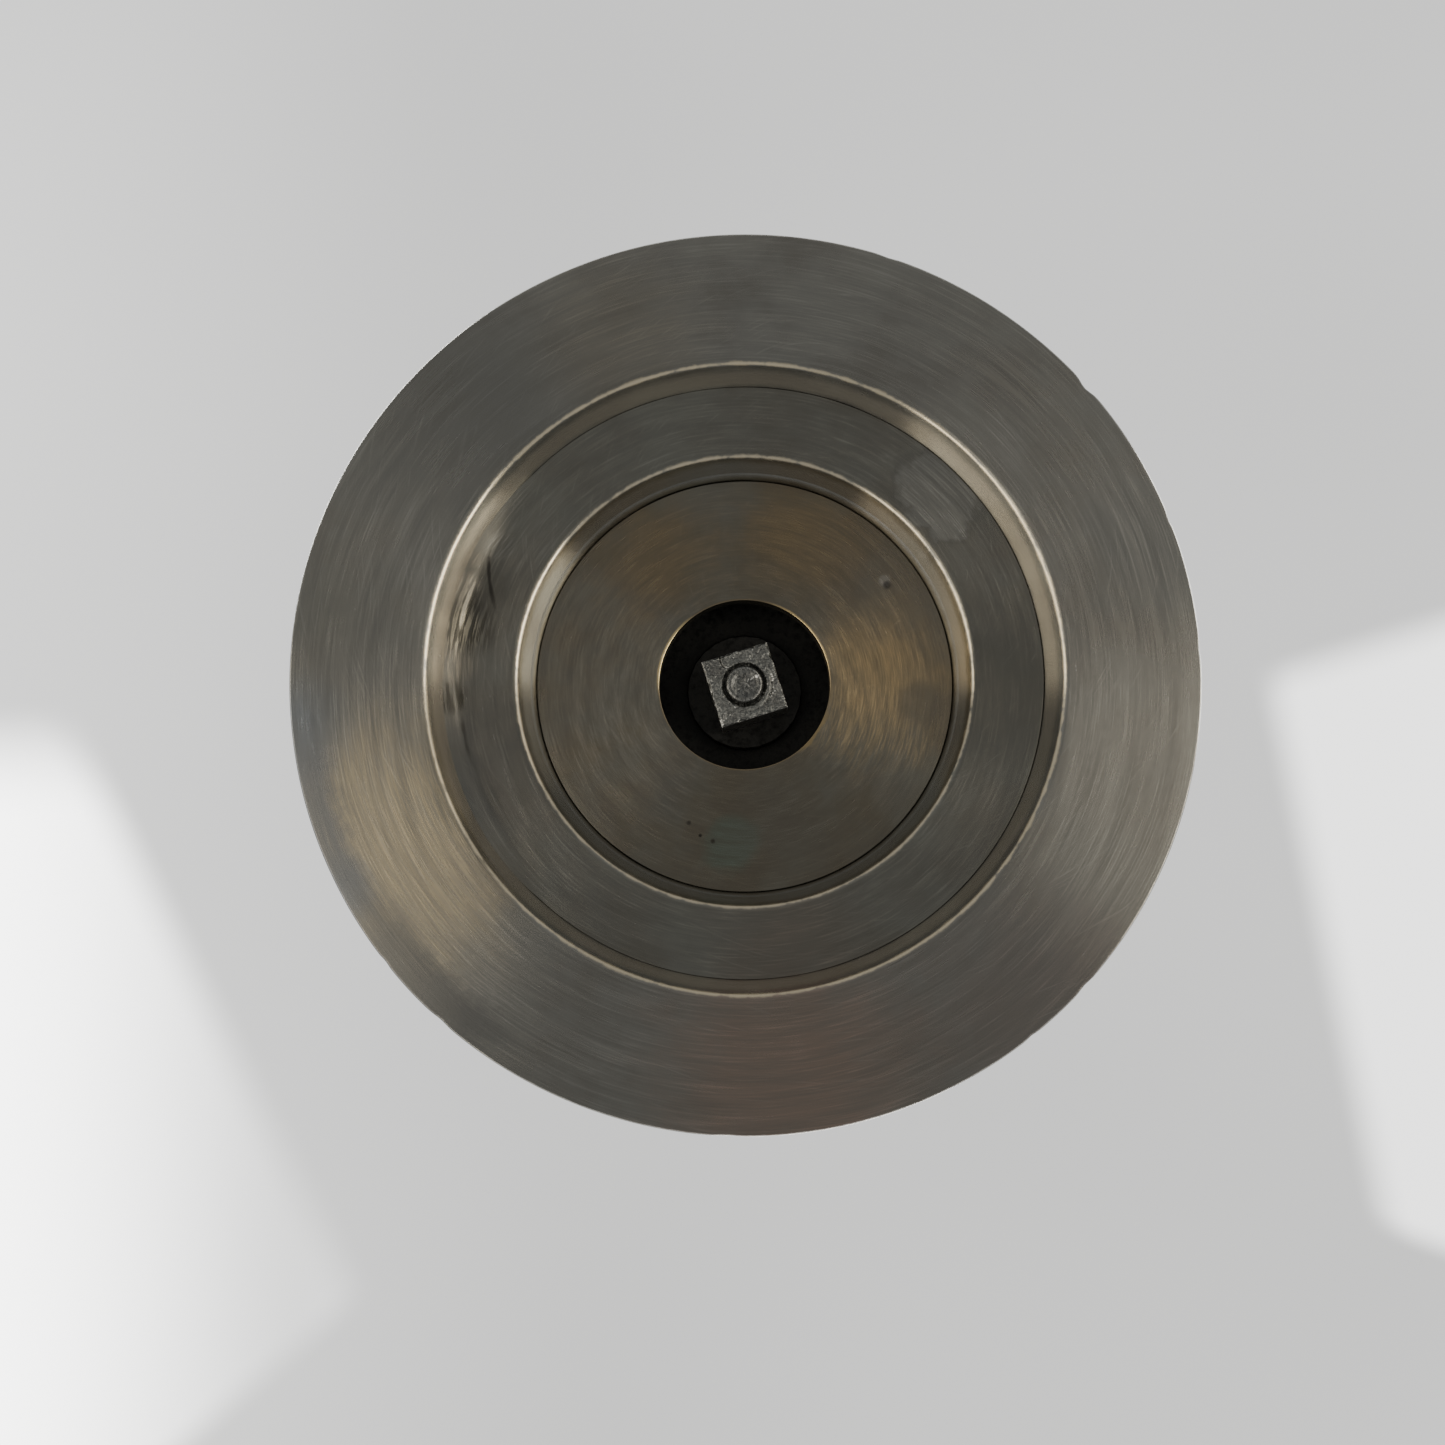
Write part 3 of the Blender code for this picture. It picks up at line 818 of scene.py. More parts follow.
PLATED = TurnedMetal(
    name="worn_plate", colour=(0.335, 0.33, 0.30), tarnish=(0.26, 0.25, 0.225),
    roughness=(0.19, 0.26), anisotropy=0.9, lines=8.0, streak=0.07, hair=0.22, bump=0.08,
    scratch=0.7,
    patches=(
        # Lighter and warmer where the rim's lower-left highlight falls: brass showing through,
        # with a painted highlight.
        Patch((-24.5, 12.0, 0.0), 13.5, (0.47, 0.405, 0.28), 0.85, 0.8, 0.6, 0.35),
        Patch((3.0, 28.0, 0.0), 13.0, (0.37, 0.29, 0.24), 0.9),
        Patch((20.0, 24.0, 0.0), 12.0, (0.30, 0.26, 0.23), 0.6),
        Patch((-9.0, -24.0, 0.0), 9.0, (0.33, 0.30, 0.24), 0.5),
        Patch((-20.0, -18.0, 0.0), 12.0, (0.24, 0.24, 0.222), 0.7),
        Patch((-28.5, -3.0, 0.0), 7.5, (0.265, 0.262, 0.235), 0.7),
        Patch((-21.3, -1.0, 2.3), 1.5, (0.10, 0.095, 0.08), 0.7, 0.6, 0.6, -1.0),
        Patch((-21.9, -9.0, 0.9), 0.3, (0.05, 0.03, 0.02), 1.0, 0.5, 0.5),
        Patch((-31.5, 4.0, 0.0), 5.0, (0.25, 0.28, 0.31), 0.7),
        Patch((-28.0, 15.5, 0.0), 3.5, (0.26, 0.28, 0.30), 0.7),
    ),
    edges=(
        WearAndShadeBand(22.35, 0.05, 0.26, (0.74, 0.65, 0.47), 0.85, 0.9),
        WearAndShadeBand(32.0, 0.05, 0.14, (0.70, 0.68, 0.62), 0.6, 0.9),
        WearAndShadeBand(21.7, 1.5, 1.2, (0.54, 0.50, 0.43), 0.8, 0.3),
    ),
    lines_drawn=(
        Mark((0.0, 0.0, 0.0), 31.6, 2.6, (-29.5, 10.5, 0.0), 9.5, (0.19, 0.20, 0.21), 0.8, 0.4),
        Mark((0.0, 0.0, 0.0), 31.6, 3.4, (-22.5, 21.5, 0.0), 9.0, (0.20, 0.20, 0.19), 0.8, 0.4),
    ),
)
HANDLED = TurnedMetal(
    name="handled_plate", colour=(0.35, 0.333, 0.288), tarnish=(0.25, 0.235, 0.197),
    roughness=(0.2, 0.3), anisotropy=0.9, lines=8.0, streak=0.08, hair=0.22, bump=0.08,
    scratch=0.7, tarnish_level=0.5,
    edges=(
        WearAndShadeBand(19.6, 82.0, 0.9, (0.52, 0.48, 0.38), 0.7, 0.9),
        WearAndShadeBand(20.5, 78.2, 0.7, (0.52, 0.46, 0.34), 0.7, 0.9),
        WearAndShadeBand(21.9, 19.9, 0.8, (0.52, 0.46, 0.34), 0.7, 0.9),
        WearAndShadeBand(23.5, 95.0, 2.6, (0.47, 0.43, 0.34), 0.6, 0.9),
        # Painted shade with grime: these three dark bands lie in the concave creases.
        WearAndShadeBand(18.2, 84.9, 1.0, (0.09, 0.082, 0.065), 0.8, 0.6),
        WearAndShadeBand(18.9, 76.3, 0.8, (0.10, 0.09, 0.07), 0.8, 0.6),
        WearAndShadeBand(19.6, 22.3, 1.0, (0.10, 0.09, 0.07), 0.8, 0.6),
    ),
)
RING = TurnedMetal(
    name="tarnished_ring", colour=(0.285, 0.283, 0.25), tarnish=(0.23, 0.22, 0.19),
    roughness=(0.16, 0.23), anisotropy=0.8, lines=7.5, streak=0.07, bump=0.08, scratch=0.7,
    tarnish_level=0.5,
    patches=(
        Patch((-17.5, 6.0, 2.5), 7.0, (0.165, 0.162, 0.148), 0.75, 0.7, 0.7),
        Patch((-19.2, -6.5, 2.5), 3.2, (0.15, 0.145, 0.125), 0.8, 0.6, 0.6),
        Patch((-20.6, -1.0, 2.2), 1.9, (0.36, 0.33, 0.27), 1.0, 0.6, 0.5, 0.9),
        Patch((-20.5, -3.6, 2.2), 2.1, (0.42, 0.385, 0.30), 1.0, 0.6, 0.5, 0.9),
        Patch((-20.1, -6.2, 2.3), 1.7, (0.34, 0.315, 0.26), 1.0, 0.6, 0.5, 0.9),
        Patch((-19.6, -8.8, 2.4), 1.0, (0.30, 0.28, 0.23), 0.8, 0.6, 0.5, 0.9),
        Patch((-20.0, -4.0, 2.3), 3.2, (0.08, 0.075, 0.06), 0.8, 0.6, 0.6, -1.0),
        Patch((-20.9, 1.4, 2.2), 1.5, (0.08, 0.075, 0.06), 0.8, 0.5, 0.6, -1.0),
        Patch((17.5, 1.0, 2.5), 9.0, (0.155, 0.153, 0.135), 0.75, 0.8, 0.5),
        Patch((-20.4, -4.4, 2.5), 0.28, (0.02, 0.018, 0.015), 1.0, 0.5, 0.5),
        Patch((-17.6, -9.6, 2.5), 1.3, (0.36, 0.355, 0.32), 0.7, 0.6, 0.9, 1.0),
        Patch((14.0, -13.2, 2.5), 3.6, (0.19, 0.185, 0.165), 0.7, 0.2, 1.3),
        Patch((14.0, -13.2, 2.5), 3.3, (0.33, 0.325, 0.295), 0.8, 0.2, 1.3),
        Patch((3.0, 19.0, 2.5), 7.0, (0.27, 0.23, 0.19), 0.6),
    ),
    edges=(
        WearAndShadeBand(16.15, 2.52, 0.28, (0.68, 0.60, 0.45), 0.85, 0.9),
        WearAndShadeBand(15.6, 4.0, 1.3, (0.38, 0.39, 0.39), 0.85, 0.3),
    ),
    lines_drawn=(
        Mark((-8.0, -8.3, 2.5), 10.35, 0.2, (-18.3, -7.6, 2.5), 3.4, (0.05, 0.047, 0.04)),
        Mark((-1.6, 0.4, 2.5), 18.7, 0.2, (-20.2, 3.0, 2.5), 4.5, (0.08, 0.075, 0.06), 0.7),
    ),
)
OUTLET = TurnedMetal(
    name="stained_outlet", colour=(0.265, 0.255, 0.215), tarnish=(0.22, 0.195, 0.15),
    roughness=(0.17, 0.24), anisotropy=0.8, lines=8.0, streak=0.06, hair=0.17, bump=0.07,
    scratch=0.8, tarnish_level=0.5,
    patches=(
        Patch((10.0, -1.0, 5.3), 6.5, (0.47, 0.35, 0.19), 0.8, 0.9, 0.8),
        Patch((9.5, 1.5, 5.3), 6.0, (0.58, 0.45, 0.26), 0.5, 0.7, 0.9, 0.8),
        Patch((-6.0, -9.5, 5.3), 7.0, (0.35, 0.27, 0.16), 0.6, 0.9, 0.8),
        Patch((4.0, -11.0, 5.3), 7.0, (0.35, 0.265, 0.155), 0.7, 0.9, 0.8),
        Patch((12.8, 1.5, 5.3), 2.2, (0.20, 0.185, 0.15), 0.7, 0.5, 0.9),
        Patch((-0.8, 11.5, 5.3), 2.7, (0.20, 0.235, 0.193), 0.8, 0.5, 1.0),
        Patch((3.0, 10.5, 5.3), 5.0, (0.22, 0.21, 0.18), 0.5),
        Patch((10.2, -7.6, 5.3), 0.6, (0.36, 0.34, 0.30), 0.8, 0.5, 0.8),
        Patch((10.4, -7.3, 5.3), 0.4, (0.07, 0.065, 0.06), 0.8, 0.5, 0.8),
        Patch((-4.0, 10.1, 5.3), 0.24, (0.05, 0.045, 0.04), 0.8, 0.7, 1.6),
        Patch((-2.3, 11.4, 5.3), 0.24, (0.05, 0.03, 0.025), 0.8, 0.7, 1.6),
        Patch((-3.2, 11.0, 5.3), 0.18, (0.05, 0.045, 0.04), 0.9, 0.5, 0.8),
    ),
    edges=(WearAndShadeBand(6.22, 5.43, 0.12, (0.33, 0.26, 0.16), 0.7, 0.8),),
    lines_drawn=(
        Mark((0.0, 0.0, 5.43), 6.23, 0.2, (-5.8, -2.6, 5.4), 3.6, (1.0, 0.80, 0.42), 1.0, 0.3),
        Mark((0.0, 0.0, 5.43), 6.23, 0.15, (4.8, -4.0, 5.4), 4.2, (0.85, 0.66, 0.34), 0.9, 0.5),
        Mark((0.0, 0.0, 5.43), 6.3, 0.25, (5.3, 3.6, 5.4), 2.2, (0.50, 0.38, 0.20), 0.8, 1.2),
    ),
)
BRASS = TurnedMetal(
    name="handled_brass", colour=(0.62, 0.47, 0.25), tarnish=(0.40, 0.29, 0.16),
    roughness=(0.25, 0.42), anisotropy=0.8, lines=8.0, streak=0.1, bump=0.1,
    edges=(WearAndShadeBand(10.2, 111.6, 0.6, (0.88, 0.72, 0.42), 0.8, 0.5),),
)
STEEL = CutSteel(name="plain_steel", colour=(0.50, 0.50, 0.50), dark=(0.32, 0.31, 0.30))
# The bright colours of the riveted and staked steel are worn edges with a painted highlight.
SPINDLE = CutSteel(
    name="riveted_steel", colour=(0.175, 0.18, 0.172), dark=(0.115, 0.115, 0.11),
    roughness=(0.26, 0.46), grain=5.5, bump=0.7, contrast=0.28, bright=(0.75, 0.75, 0.72),
)
TAIL = CutSteel(
    name="staked_steel", colour=(0.145, 0.148, 0.143), dark=(0.08, 0.08, 0.077),
    roughness=(0.2, 0.42), grain=5.0, bump=0.8, contrast=0.35, bright=(0.8, 0.8, 0.77),
)
# Near-black: dark steel, darkened further as painted shade for the deep inside of the outlet.
BURR = CutSteel(
    name="burr_steel", colour=(0.026, 0.026, 0.025), dark=(0.012, 0.012, 0.011),
    roughness=(0.45, 0.7), grain=2.0, contrast=0.25, bright=(0.05, 0.05, 0.048),
)
SPRING = CutSteel(
    name="spring_wire", colour=(0.55, 0.55, 0.54), dark=(0.40, 0.39, 0.38), grain=6.0, bump=0.1,
)
FIBRE = CutSteel(
    name="pressed_fibre", colour=(0.05, 0.042, 0.036), dark=(0.025, 0.022, 0.02),
    roughness=(0.7, 0.95), grain=4.0, bump=0.7, metallic=0.0, bright=(0.07, 0.06, 0.05),
)


# ---------------------------------------------------------- the sub-assemblies


@dataclass(frozen=True)
class Dent:
    """A small knock in a turned edge."""

    angle: float
    radius: float
    width: float
    depth: float


@dataclass
class Foot:
    """The wide foot with its flat rim, and the ring and outlet plate set into it."""

    rim_radius: float = 32.0
    mouth_radius: float = 22.4
    recess_radius: float = 21.3
    recess_depth: float = 2.5
    step_mouth_radius: float = 16.2
    step_radius: float = 15.1
    plate_depth: float = 5.3
    outlet_radius: float = 6.2
    neck_radius: float = 21.5
    top: float = 18.0
    seat_radius: float = 18.0
    flange_height: float = 7.8
    ring_top: float = 7.5
    plate_rim: float = 17.7
    plate_back: float = 9.7
    dish: float = 0.12
    line_depth: float = 0.05
    smear_angle: float = 178.0
    smear_spread: float = 46.0
    smear_start: float = 18.4
    smear_lump: float = 0.03
    smear_fillet: float = 0.2
    knocked_band: float = 2.5
    waviness: float = 0.02
    segments: int = 512
    face_steps: tuple[float, ...] = (
        0.5, 1.0, 1.5, 2.0, 2.5, 3.0, 3.4, 3.7, 3.9, 4.1, 4.3, 4.5, 4.65, 4.8, 4.92,
    )
    dents: tuple[Dent, ...] = (
        Dent(-40.2, 31.9, 0.7, 0.22), Dent(-20.0, 31.9, 0.5, 0.08), Dent(43.0, 31.9, 0.6, 0.1),
        Dent(52.0, 31.9, 0.4, 0.09), Dent(-71.0, 31.9, 0.6, 0.07), Dent(131.0, 31.9, 0.7, 0.09),
        Dent(141.0, 31.9, 0.4, 0.08), Dent(92.0, 31.9, 0.8, 0.06), Dent(-3.0, 31.9, 0.6, 0.06),
    )

    def build(self, shop: Workshop) -> None:
        """Make and dress the three pieces."""
        shop.fit(self.foot(), PLATED, Body.BASE, Slot.PLATED, "base_foot")
        shop.fit(self.ring(), RING, Body.BASE, Slot.RING, "retaining_ring")
        shop.fit(self.plate(), OUTLET, Body.BASE, Slot.OUTLET, "outlet_plate")

    def foot(self) -> bpy.types.Object:
        """Turn the foot and knock its edge."""
        rim = self.rim_radius
        cove = arc((rim - 1.0, self.top - 1.0), (9.5, 14.6), 270, 180, 30)
        flat = [Corner(self.mouth_radius + 1.3 * i, 0.0) for i in range(1, 7)]
        made = turned("foot_shell", eased([
            Corner(self.mouth_radius, 0.0, 0.4), *flat, Corner(rim - 0.1, 0.0, 0.04),
            Corner(rim, 0.1, 0.04), Corner(rim, 1.7, 0.2), Corner(rim - 0.35, 2.25, 0.15), *cove,
            Corner(self.neck_radius, self.top, 0.2), Corner(self.seat_radius, self.top),
            Corner(self.seat_radius, self.flange_height),
            Corner(self.recess_radius, self.flange_height),
            Corner(self.recess_radius, self.recess_depth, 0.03),
        ]), self.segments)
        mapped(made, self.knocked)
        return made

    def knocked(self, point: Vector) -> Vector:
        """Return where a point of the foot lies once its rim is dented and slightly uneven."""
        radius = math.hypot(point.x, point.y)
        if radius > self.rim_radius - self.knocked_band and point.z < self.knocked_band:
            for dent in self.dents:
                turn = math.radians(dent.angle)
                spot = Vector((dent.radius * math.cos(turn), dent.radius * math.sin(turn), 0))
                away = (point - spot).length / dent.width
                push = dent.depth * math.exp(-away * away)
                point = point - Vector((point.x, point.y, 0)) * (push / radius)
        wave = noise.noise(point * 0.12) * self.waviness
        return point + Vector((point.x, point.y, 0)) * (-abs(wave) / radius)

    def ring(self) -> bpy.types.Object:
        """Turn the ring that holds the plate, with the fine line in its sloped wall."""
        outer = self.ring_radius
        face = [
            Corner(self.step_mouth_radius + step, self.recess_depth) for step in self.face_steps
        ]
        line = ((0.74, 0.0), (0.72, self.line_depth), (0.70, self.line_depth), (0.68, 0.0))
        made = turned("ring_shell", eased([
            Corner(self.step_mouth_radius, self.recess_depth, 0.4), *face,
            Corner(outer, self.recess_depth, 0.03), Corner(outer, self.ring_top),
            Corner(self.step_radius, self.ring_top), Corner(self.step_radius, self.plate_depth),
            *(self.wall(share, inwards) for share, inwards in line),
        ]), self.segments)
        mapped(made, self.smeared)
        return made

    @property
    def ring_radius(self) -> float:
        """Return the ring's outer radius."""
        return self.recess_radius - 0.07

    def wall(self, share: float, inwards: float) -> Corner:
        """Return a point of the ring's sloped wall, at a share of its drop."""
        slope = self.step_mouth_radius - self.step_radius
        drop = self.plate_depth - self.recess_depth
        return Corner(
            self.step_mouth_radius - slope * share + inwards, self.recess_depth + drop * share,
        )

    def smeared(self, point: Vector) -> Vector:
        """Return where a point of the ring lies once its face is dished and its joint smeared.

        Args:
            point: a point of the turned ring.

        Returns:
            Its place. On the smeared side the face rises to the foot's wall in a lumpy
            fillet, and on the other side it keeps a fine open joint.
        """
        outer, mouth = self.ring_radius, self.step_mouth_radius
        radius = math.hypot(point.x, point.y)
        angle = math.degrees(math.atan2(point.y, point.x)) % 360.0
        if point.z > self.recess_depth + 0.4 or radius < mouth + 0.3:
            return point
        inside = max(0.0, 1.0 - abs(angle - self.smear_angle) / self.smear_spread)
        closed = min(1.0, inside * 3.0)
        lumpy = min(1.0, inside * 2.0) * min(1.0, max(0.0, radius - self.smear_start))
        lump = noise.noise(Vector((radius * 3.0, angle * 0.11, 0.0)))
        point.z += self.smear_lump * lumpy * lump
        point.z -= self.smear_fillet * closed * max(0.0, radius - outer + 1.3) ** 2
        point.z -= self.dish * ((radius - mouth) / (outer - mouth) - 0.1)
        lean = (self.mouth_radius - self.recess_radius) / self.recess_depth
        wall_radius = self.recess_radius + lean * max(0.0, self.recess_depth - point.z)
        open_side = max(0.0, math.cos(math.radians(angle + 10.0)))
        gap = 0.02 + 0.035 * open_side - 0.07 * closed
        push = max(0.0, radius - outer + 0.4) / 0.4 * (wall_radius - gap - outer)
        return point + Vector((point.x, point.y, 0.0)) * (push / radius)

    def plate(self) -> bpy.types.Object:
        """Turn the disc with the outlet hole."""
        boss = self.step_radius - 0.05
        rim, back, bore_top = self.plate_rim, self.plate_back, 6.9
        face = [
            Corner(self.outlet_radius + 1.3 * i, self.plate_depth + self.dish * (1 - i / 7))
            for i in range(1, 7)
        ]
        return turned("outlet_shell", eased([
            Corner(self.outlet_radius, self.plate_depth + self.dish, 0.07), *face,
            Corner(boss, self.plate_depth, 0.04), Corner(boss, self.flange_height),
            Corner(rim, self.flange_height), Corner(rim, back), Corner(13.8, back),
            Corner(self.outlet_radius, bore_top),
        ]), self.segments)


@dataclass
class Grinder:
    """The square spindle, the block riveted on its tail, the burrs and their spring."""

    square: float = 5.0
    turn: float = -17.5
    block_low: float = 5.6
    block_high: float = 9.1
    tail_radius: float = 1.4
    tail_tip: float = 5.2
    shank_low: float = 11.0
    thread_low: float = 97.5
    thread_high: float = 108.5
    thread_radius: float = 2.4
    thread_root: float = 1.95
    pitch: float = 0.8
    spring_radius: float = 4.6
    wire_radius: float = 0.4
    spring_low: float = 21.5
    spring_high: float = 29.8
    spring_turns: float = 5.5
    lift: float = 1.2
    face_cells: int = 140
    groove_depth: float = 0.25
    second_groove_radius: float = 2.0
    second_groove_depth: float = 0.13
    crack_depth: float = 0.09
    corner_cut: float = 0.12
    around: int = 96
    tail_profile: tuple[Point, ...] = (
        (0.03, 5.36), (0.2, 5.36), (0.38, 5.36), (0.54, 5.35), (0.68, 5.34), (0.8, 5.31),
        (0.9, 5.27), (0.98, 5.22), (1.06, 5.2), (1.16, 5.2), (1.25, 5.24), (1.31, 5.31),
        (1.36, 5.42), (1.4, 5.6), (1.4, 6.2), (1.4, 11.0),
    )

    def build(self, shop: Workshop) -> None:
        """Make and dress the pieces."""
        shop.fit(self.block(), SPINDLE, Body.GRINDER, Slot.SPINDLE, "spindle_end_block")
        shop.fit(self.spindle(), TAIL, Body.GRINDER, Slot.SPINDLE, "spindle")
        spring = shop.fit(self.spring(), SPRING, Body.GRINDER, Slot.SPRING, "rotor_spring")
        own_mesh(spring)
        # The burrs, their washer and the stator ring take the near-black finish: dark steel with
        # painted shade.
        shop.dress(BURR, "rotor_burr", "rotor_washer", "stator_ring")
        shop.dress(STEEL, "stator_pin_1", "stator_pin_2", "guide_bridge", "spring_washer")

    def block(self) -> bpy.types.Object:
        """Make the square block, with a rough cut face around the staked tail."""
        cells = self.face_cells
        half = self.square / 2
        work = bmesh.new()
        places = [half * (2 * i / cells - 1) for i in range(cells + 1)]
        rows = [[work.verts.new(self.face_point(x, y)) for x in places] for y in places]
        for j in range(cells):
            for i in range(cells):
                corners = (rows[j][i], rows[j + 1][i], rows[j + 1][i + 1], rows[j][i + 1])
                work.faces.new(corners)
        border = rows[0] + [r[-1] for r in rows[1:]] + rows[-1][-2::-1]
        border += [r[0] for r in rows[-2:0:-1]]
        levels = (self.block_low + 0.5, self.block_low + 1.6, self.block_high)
        below = border
        for level in levels:
            ring = [work.verts.new((v.co.x, v.co.y, level)) for v in border]
            for i in range(len(border)):
                j = (i + 1) % len(border)
                work.faces.new((below[i], below[j], ring[j], ring[i]))
            below = ring
        work.faces.new(below)
        bmesh.ops.recalc_face_normals(work, faces=work.faces)
        spin = Matrix.Rotation(math.radians(self.turn), 4, "Z") @ Matrix.Scale(MM, 4)
        bmesh.ops.transform(work, matrix=spin, verts=work.verts)
        mesh = bpy.data.meshes.new("block_shell")
        work.to_mesh(mesh)
        work.free()
        face_outwards(mesh, 32.0)
        return placed("block_shell", mesh)

    def face_point(self, x: float, y: float) -> Vector:
        """Return a point of the block's cut face, before the block is turned."""
        half = self.square / 2
        radius = math.hypot(x, y)
        angle = math.degrees(math.atan2(y, x))
        depth = 0.05 * noise.noise(Vector((x, y, 0.0)) * 2.2)
        depth += 0.035 * noise.noise(Vector((x, y, 4.0)) * 6.0)
        depth += 0.02 * noise.noise(Vector((x * 0.4, y, 7.0)) * 16.0)
        groove = (radius - self.tail_radius - 0.08) / 0.11
        depth += self.groove_depth * math.exp(-(groove ** 2))
        second = max(0.0, 1.0 - abs(angle - 35.0) / 95.0)
        groove = (radius - self.second_groove_radius) / 0.09
        depth += self.second_groove_depth * second * math.exp(-(groove ** 2))
        bent = 0.35 * math.sin(2.2 * (radius - 1.4))
        crack = abs((x + y * 0.15 + bent) * 0.8 - (y + 1.2) * 0.45 + 0.55)
        if radius > 1.5 and x < 0.0 and y < 0.0:
            depth += self.crack_depth * math.exp(-((crack / 0.06) ** 2))
        edge = half - max(abs(x), abs(y))
        chip = 0.12 + 0.14 * noise.noise(Vector((x, y, 9.0)) * 2.5)
        depth += 0.9 * max(0.0, chip - edge)
        return Vector((x, y, self.block_low + max(depth, -0.05)))

    def shank_radius(self, angle: float) -> float:
        """Return the reach of the square shank in one direction, with its corners cut."""
        half = self.square / 2
        corner = half * math.sqrt(2.0) - self.corner_cut
        return min(half / max(abs(math.cos(angle)), abs(math.sin(angle))), corner)

    def thread_reach(self, height: float, angle: float) -> float:
        """Return the radius of the thread at a height, fading out at both its ends."""
        ends = (height - self.thread_low) / 0.6, (self.thread_high - height) / 0.6
        crest = 1.0 - abs(2.0 * ((height / self.pitch - angle / math.tau) % 1.0) - 1.0)
        return self.thread_root + (self.thread_radius - self.thread_root) * crest * min(1.0, *ends)

    def spindle(self) -> bpy.types.Object:
        """Make the shank with its staked tail below and a real thread above."""
        rings = []
        for radius, height in self.tail_profile:
            ring = round_ring(radius, height, self.around)
            if height < self.block_low:
                for point in ring:
                    rough = noise.noise(point * 2.6) * 0.12 + noise.noise(point * 6.0) * 0.10
                    point.z = max(self.tail_tip, point.z + rough * max(0.15, 1.1 - radius))
                    point.x += 0.12 * max(0.0, 1.3 - radius)
            rings.append(ring)
        for height in (self.shank_low, self.thread_low):
            rings.append(polar_ring(self.shank_radius, height, self.around))
        step = 0.1
        for i in range(int((self.thread_high - self.thread_low) / step) + 1):
            height = self.thread_low + i * step
            rings.append(polar_ring(partial(self.thread_reach, height), height, self.around))
        made = skinned("spindle_shell", rings, closed=False)
        made.data.transform(Matrix.Rotation(math.radians(self.turn), 4, "Z"))
        return made

    def spring(self) -> bpy.types.Object:
        """Coil the spring, with its end turns closed up."""
        per_turn = 48
        sides = 14
        total = int(self.spring_turns * per_turn)
        rings = []
        for i in range(total + 1):
            share = i / total
            angle = math.tau * i / per_turn
            ease = share - 0.11 * math.sin(math.tau * share)
            height = self.spring_low + (self.spring_high - self.spring_low) * ease
            out = Vector((math.cos(angle), math.sin(angle), 0.0))
            centre = out * self.spring_radius + Vector((0.0, 0.0, height))
            ring = []
            for side in range(sides):
                roll = math.tau * side / sides
                offset = out * math.cos(roll) + Vector((0.0, 0.0, 1.0)) * math.sin(roll)
                ring.append(centre + offset * self.wire_radius)
            rings.append(ring)
        return skinned("spring_coil", rings, closed=False)


@dataclass
class Barrel:
    """The waisted barrel and the fibre ring on its top."""

    waist_radius: float = 17.0
    waist: float = 50.0
    flare: float = 0.0031
    low: float = 18.3
    high: float = 80.0
    chamber_radius: float = 13.2
    lower_chamber_radius: float = 14.5
    shoulder: float = 34.0
    spigot_radius: float = 17.7
    spigot_low: float = 15.0

    def build(self, shop: Workshop) -> None:
        """Make and dress the pieces."""
        shop.fit(self.shell(), HANDLED, Body.BASE, Slot.PLATED, "body_barrel")
        washer = flat_washer("fibre_ring", 13.6, 18.4, 80.3, 81.0)
        shop.fit(washer, FIBRE, Body.BASE, Slot.FIBRE, "head_washer")

    def shell(self) -> bpy.types.Object:
        """Turn the barrel with its two beads."""
        low, high, parts = 22.4, 76.0, 48
        heights = [low + (high - low) * i / parts for i in range(parts + 1)]
        waisted = [
            Corner(self.waist_radius + self.flare * (height - self.waist) ** 2, height)
            for height in heights
        ]
        return turned("barrel_shell", eased([
            Corner(self.lower_chamber_radius, self.spigot_low),
            Corner(self.spigot_radius, self.spigot_low), Corner(self.spigot_radius, self.low),
            Corner(21.2, self.low, 0.1), *arc((20.6, self.low + 1.6), (1.3, 1.6), -60, 90, 14),
            *waisted, *arc((19.0, self.high - 1.8), (1.5, 1.8), -60, 90, 14),
            Corner(self.chamber_radius, self.high, 0.2),
            Corner(self.chamber_radius, self.shoulder),
            Corner(self.lower_chamber_radius, self.shoulder),
        ]))


